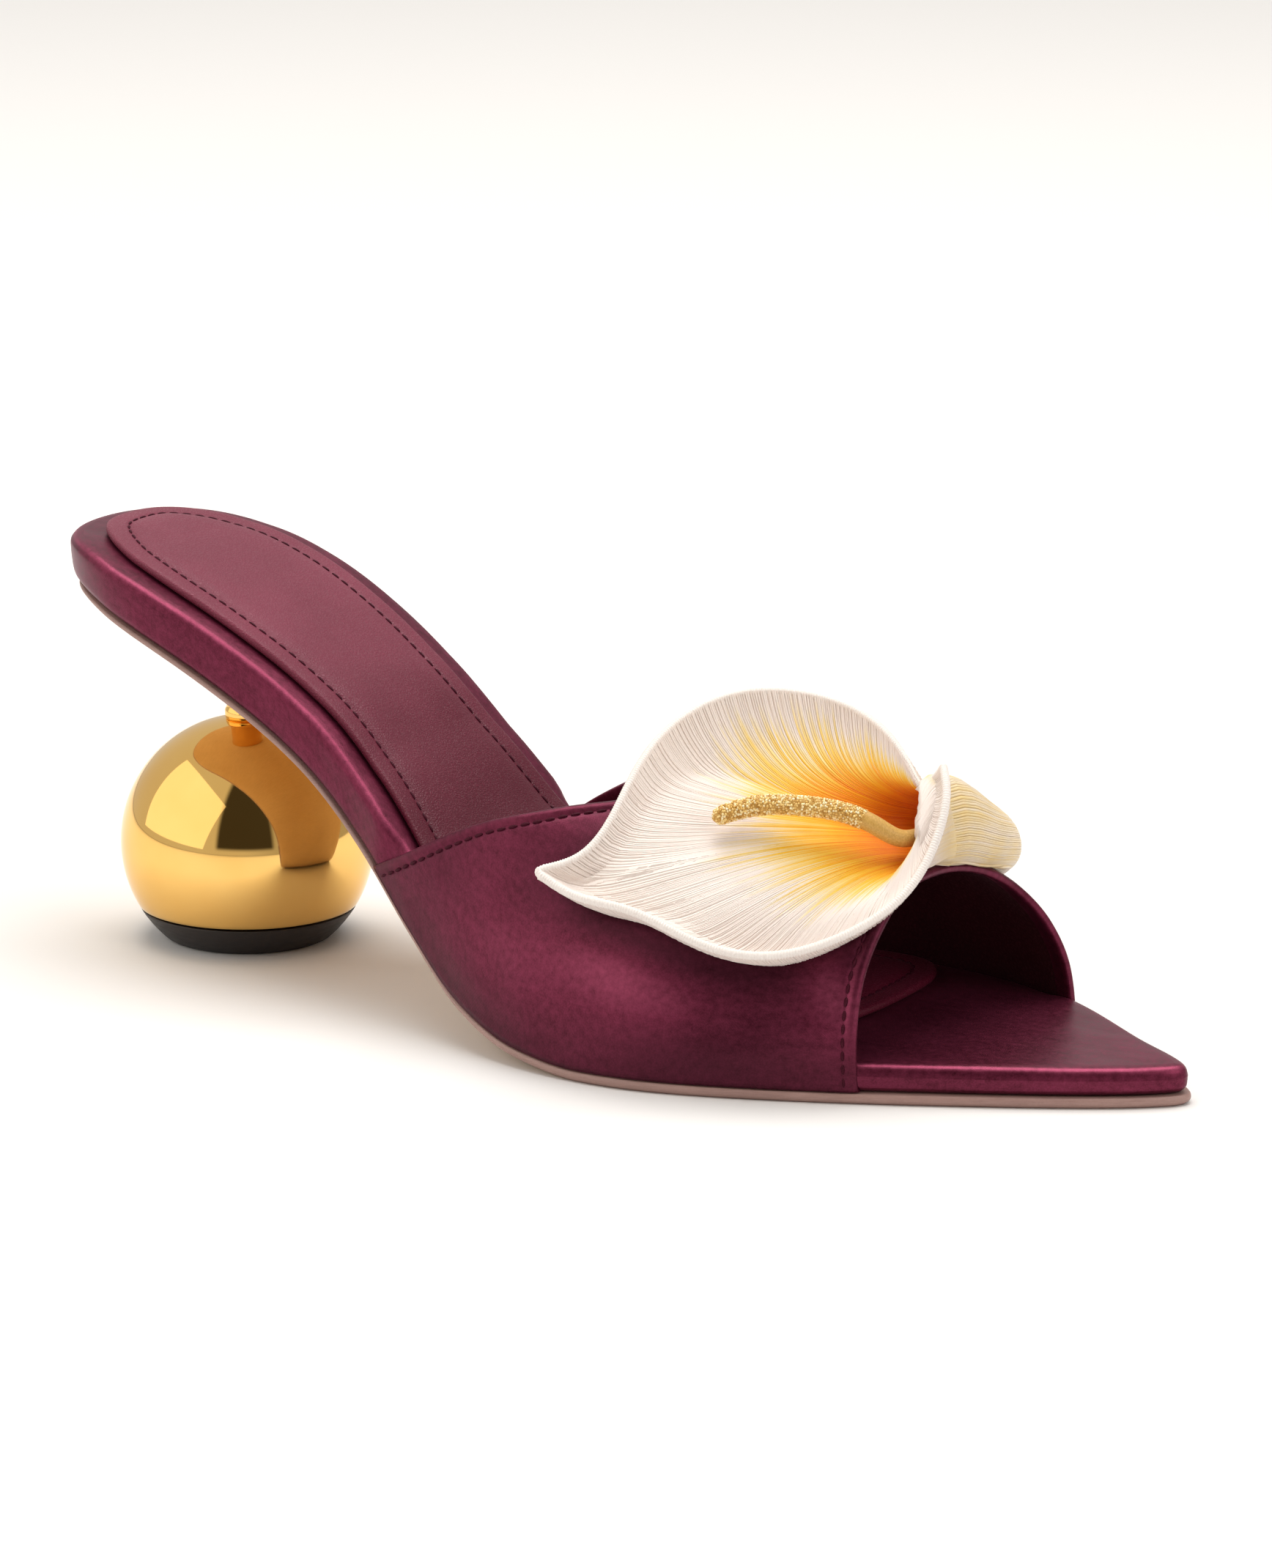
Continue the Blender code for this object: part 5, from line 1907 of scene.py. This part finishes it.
    def build_rim(self, material: Material, cords: Grower) -> None:
        """Whipped cord along the rim, which runs on down the lapped edge to the stalk.

        Args:
            material: Finish of the cord.
            cords: Tree that whips a cord along a line.
        """
        shares = np.linspace(0.0, 1.0, self.rim_points)
        inner, outer, _ = self.sheet(shares)
        middle = 0.5 * (inner + outer)
        line = np.concatenate([middle[:, -1], middle[-1, -2 : self.tube_columns // 3 : -1]])
        thin, reach = self.rim_tuck
        tucked = thin + (1.0 - thin) * ease(shares / reach)
        taper = np.concatenate([tucked, np.linspace(1.0, self.rim_tail, len(line) - len(shares))])
        thick = self.rim_radius * taper * MM
        cord = cords.grow(
            "petal_rim",
            guide_lines([line], {"thick": [thick]}),
            spacing=self.whip_pitch * MM / self.whip_points,
            pitch=self.whip_pitch * MM,
            depth=self.whip_depth * MM,
            sides=self.rim_sides,
            finish=material,
        )
        settle(cord, "petal")

    def build_spadix(self, core: Material, material: Material, beads: Grower) -> None:
        """Rod in the throat with rounded ends, its outer part covered with beads.

        Args:
            core: Finish of the rod.
            material: Finish of the beads.
            beads: Tree that covers a rod with beads.
        """
        shares = np.linspace(0.0, 1.0, self.spadix_rings)
        line = open_spline(self.spadix, shares)
        angle = np.linspace(0.0, TURN, self.spadix_turns)[:, None]
        rings = []
        for share, centre, (_, up, side) in zip(shares, line, path_frames(line)):
            inward = min(min(share, 1.0 - share) / self.spadix_round, 1.0)
            radius = (centre[3] - self.bead_bed) * math.sqrt(1.0 - (1.0 - inward) ** 2)
            rings.append(centre[:3] + radius * (np.cos(angle) * up + np.sin(angle) * side))
        draft = Draft()
        draft.grid(np.array(rings))
        settle(draft.build("spadix_rod", core), "spadix", "flower_spadix")
        beaded = Draft()
        beaded.grid(np.array(rings[self.bead_start :]))
        cover = beaded.build("spadix_cover", core)
        ground = cover.data.copy()
        bpy.data.objects.remove(cover)
        coat = beads.grow(
            "spadix_beads",
            ground,
            radius=self.bead_radius * MM,
            spacing=self.bead_spacing * MM,
            seed=self.bead_seed,
            finish=material,
        )
        settle(coat, "spadix")

    def stalk_u(self, share: float) -> float:
        """Share of the way round the band at a share of the stalk's length."""
        return self.stalk[0][0] + (self.stalk[-1][0] - self.stalk[0][0]) * share

    def stalk_line(self, share: float, side: float, lift: float) -> Array:
        """Point beside and over the stalk's middle line on the band, at a share of its length."""
        u = self.stalk_u(share)
        x = float(Curve(self.stalk, 1)(u)) + side
        around = min(u + self.stalk_slant * side, self.stalk_end)
        return self.band.point(x, around) + lift * self.band.normal(x, around)

    def stalk_ring(self, share: float, turns: Array) -> list[Array]:
        """One ring of the stalk: a wrinkled round body on flat flanges.

        Args:
            share: Share of the stalk's length.
            turns: Angles of the ring's points.

        Returns:
            The ring's points.
        """
        wide = float(Curve(self.stalk, 2)(self.stalk_u(share)))
        high = float(Curve(self.stalk, 3)(self.stalk_u(share)))
        phase = share * self.wrinkle_turn + self.wrinkle_sway * math.sin(share * self.wrinkle_sway_turn)
        wrinkle = self.wrinkle * math.sin(phase) * min(1.0, self.wrinkle_start * share)
        ring = []
        for turn in turns:
            across = math.cos(turn)
            body = math.sqrt(max(1.0 - (across / self.flange) ** 2, 0.0))
            rise = self.flange_thick + (high - self.flange_thick + wrinkle) * body
            edge = min(1.0, self.flange_edge * max(math.sin(turn), 0.0))
            ring.append(self.stalk_line(share, wide * across, GAP + rise * edge))
        return ring

    def build_stalk(self, leather: Material, needle: Needle) -> None:
        """Leather stalk with a plug in the tube, a wrinkled body, flat flanges and stitches.

        Args:
            leather: Finish of the stalk.
            needle: Sews its stitches.
        """
        base = np.array(self.tube[0][:3])
        axis = unit(np.array(self.tube[1][:3]) - base)
        ahead = unit(np.array([1.0, 0.0, 0.0]) - axis[0] * axis)
        above = np.cross(ahead, axis)
        above = above if above[2] > 0.0 else -above
        radius, depth = self.stalk_plug
        turns = np.linspace(0.0, TURN, self.stalk_turns)
        plug = [radius * (math.cos(turn) * ahead + math.sin(turn) * above) for turn in turns]
        steps = (depth, 0.5 * depth, -GAP)
        rings = [[base + step * axis + point for point in plug] for step in steps]
        rings += [self.stalk_ring(share, turns) for share in np.linspace(0.0, 1.0, self.stalk_rings)]
        draft = Draft()
        draft.tube(np.array(rings))
        settle(draft.build("stalk_leather", leather), "stalk", "flower_stem")
        shares = np.linspace(*self.seam_span, self.seam_points)
        lines = []
        for side in (-1.0, 1.0):
            offset = side * self.seam_side * self.stalk[1][2]
            lines.append(np.array([self.stalk_line(s, offset, GAP + self.seam_height) for s in shares]))
        needle.sew("stalk_stitches", lines, self.stalk_seam, "stalk")


@dataclass(frozen=True)
class SoftLight:
    """A large rectangular light."""

    name: str
    place: Place
    aim: Place
    width: float
    height: float
    power: float
    colour: Colour

    def build(self) -> None:
        """Put the light into the scene."""
        light = bpy.data.lights.new(self.name, "AREA")
        light.shape = "RECTANGLE"
        light.size = self.width
        light.size_y = self.height
        light.energy = self.power
        light.color = self.colour
        stand(self.name, light, self.place, self.aim)


@dataclass
class Studio:
    """Pale floor, soft lights and the camera."""

    camera_at: Place = (0.713438, -1.080201, 0.378682)
    aim: Place = (-0.009, 0.0238, 0.035)
    lens: float = 172.6
    clip: Span = (0.05, 60.0)
    floor_size: float = 24.0
    floor_colour: Colour = (0.86, 0.85, 0.84)
    floor_roughness: float = 0.75
    lights: tuple[SoftLight, ...] = (
        SoftLight("left_panel", (-0.90, -1.05, 0.80), (0.0, 0.0, 0.05), 2.3, 1.5, 7.8, (1.0, 0.94, 0.86)),
        SoftLight("overhead", (-0.15, 0.35, 1.5), (0.0, 0.0, 0.0), 1.5, 1.1, 22.0, (1.0, 0.98, 0.95)),
        SoftLight("right_fill", (1.45, -0.05, 0.95), (0.05, 0.0, 0.05), 1.0, 1.0, 7.5, (1.0, 0.97, 0.94)),
    )
    world_pale: Colour = (0.92, 0.89, 0.85)
    world_dark: Colour = (0.075, 0.066, 0.052)
    world_strength: float = 0.72
    # Dark gap behind the camera: half width, soft edges to the sides and above the floor.
    gap_width: float = 0.5
    gap_side: Span = (-0.04, 0.06)
    gap_foot: Span = (0.04, 0.12)
    # Dimmer right half: strength, soft edge.
    right_dim: float = 0.35
    dim_edge: Span = (-0.15, 0.75)

    def build_floor(self) -> None:
        """Wide pale floor under the shoe."""
        half = 0.5 * self.floor_size
        mesh = bpy.data.meshes.new("floor")
        corners = [(-half, -half, 0.0), (half, -half, 0.0), (half, half, 0.0), (-half, half, 0.0)]
        mesh.from_pydata(corners, [], [(0, 1, 2, 3)])
        finish = {"Base Color": (*self.floor_colour, 1.0), "Roughness": self.floor_roughness}
        mesh.materials.append(Paint("pale_floor").surface(finish))
        link("floor", mesh)

    def build_lights(self) -> None:
        """Large soft panels."""
        for light in self.lights:
            light.build()

    def build_surround(self) -> None:
        """Pale surround that is dark behind the camera, which the camera itself sees evenly pale."""
        world = bpy.data.worlds.new("studio")
        world.use_nodes = True
        world.node_tree.nodes.clear()
        graph = NodeGraph(world.node_tree)
        way = graph.node("ShaderNodeTexCoord", None, None, "Generated")
        towards = unit(np.array([self.camera_at[0], self.camera_at[1], 0.0]))
        front = graph.dot(way, towards)
        beside = graph.dot(way, np.array([-towards[1], towards[0], 0.0]))
        above = graph.dot(way, np.array([0.0, 0.0, 1.0]))
        gap = graph.step(self.gap_width * front - beside.size(), *self.gap_side)
        dark = gap * graph.step(above, *self.gap_foot)
        seen = graph.node("ShaderNodeLightPath", None, None, "Is Camera Ray")
        dim = graph.step(beside, *self.dim_edge) * (1 - dark)
        hidden = (dark + self.right_dim * dim).clamp() * (1 - seen)
        colour = graph.mix(hidden, self.world_pale, self.world_dark)
        strength = self.world_strength + (1.0 - self.world_strength) * seen
        sky = graph.node("ShaderNodeBackground", None, {"Color": colour, "Strength": strength})
        graph.node("ShaderNodeOutputWorld", None, {"Surface": sky})
        bpy.context.scene.world = world

    def build_camera(self) -> None:
        """Camera at the photograph's place, turned and zoomed to the one shoe."""
        data = bpy.data.cameras.new("camera")
        data.lens = self.lens
        data.clip_start, data.clip_end = self.clip
        scene = bpy.context.scene
        scene.camera = stand("camera", data, self.camera_at, self.aim)
        scene.view_settings.view_transform = "Standard"


def main() -> None:
    """Dress the shoe piece by piece and set up the studio."""
    logging.basicConfig(level=logging.INFO, format="%(name)s %(message)s")
    satin = Satin().material()
    lining = Leather(
        "dark_lining",
        (0.030, 0.0022, 0.0050),
        (0.070, 0.0070, 0.0140),
        roughness=0.66,
        gloss=0.2,
        sheen=0.03,
    ).material()
    sock = Leather(
        "burgundy_leather",
        (0.090, 0.0048, 0.0175),
        (0.315, 0.0640, 0.1090),
        pebble=0.55,
        depth=0.10,
        strength=0.55,
        roughness=0.37,
        sheen=0.02,
        gloss=0.20,
        mottle=0.12,
        cloud=0.35,
        # Painted shade: the sock darkens towards the toe, where the arch and the band take less light.
        fade=(-70.0, -20.0, 0.42),
    ).material()
    stalk = Leather(
        "stalk_leather",
        (0.060, 0.011, 0.019),
        (0.125, 0.026, 0.040),
        pebble=0.6,
        depth=0.1,
    ).material()
    dark_thread = Thread(
        "burgundy_thread",
        (0.022, 0.0012, 0.0048),
        (0.080, 0.0060, 0.0200),
        gloss=0.1,
    ).material()
    silk = Silk("laid_silk").material()
    rim = Thread("ivory_cord", (0.82, 0.73, 0.67), (0.96, 0.92, 0.89), 0.5).material()
    gold = Gold().material()
    needle = Needle(stitch_tree(), dark_thread)
    form = SoleForm()
    sole_unit = SoleUnit(form)
    tread = SoleLeather("tan_tread", (0.48, 0.31, 0.18), (0.66, 0.46, 0.29)).material()
    sole_unit.build_outsole(SoleLeather().material(), tread)
    sole_unit.build_footbed(satin)
    sole_unit.build_sock(sock, needle)
    band = VampBand(form)
    flower = Calla(band)
    band.build(satin, lining, flower.rim_line())
    band.sew(needle)
    heel = BallHeel(form)
    heel.build_ball(gold)
    heel.build_lift(Rubber().material())
    heel.build_stem(gold)
    flower.build_petal(silk, thread_tree())
    flower.build_rim(rim, cord_tree())
    gold_thread = Thread("gold_thread", (0.40, 0.19, 0.025), (0.80, 0.50, 0.15), 0.4).material()
    flower.build_spadix(gold_thread, Beads().material(), bead_tree())
    flower.build_stalk(stalk, needle)
    studio = Studio()
    studio.build_floor()
    studio.build_lights()
    studio.build_surround()
    studio.build_camera()


if __name__ == "__main__":
    main()
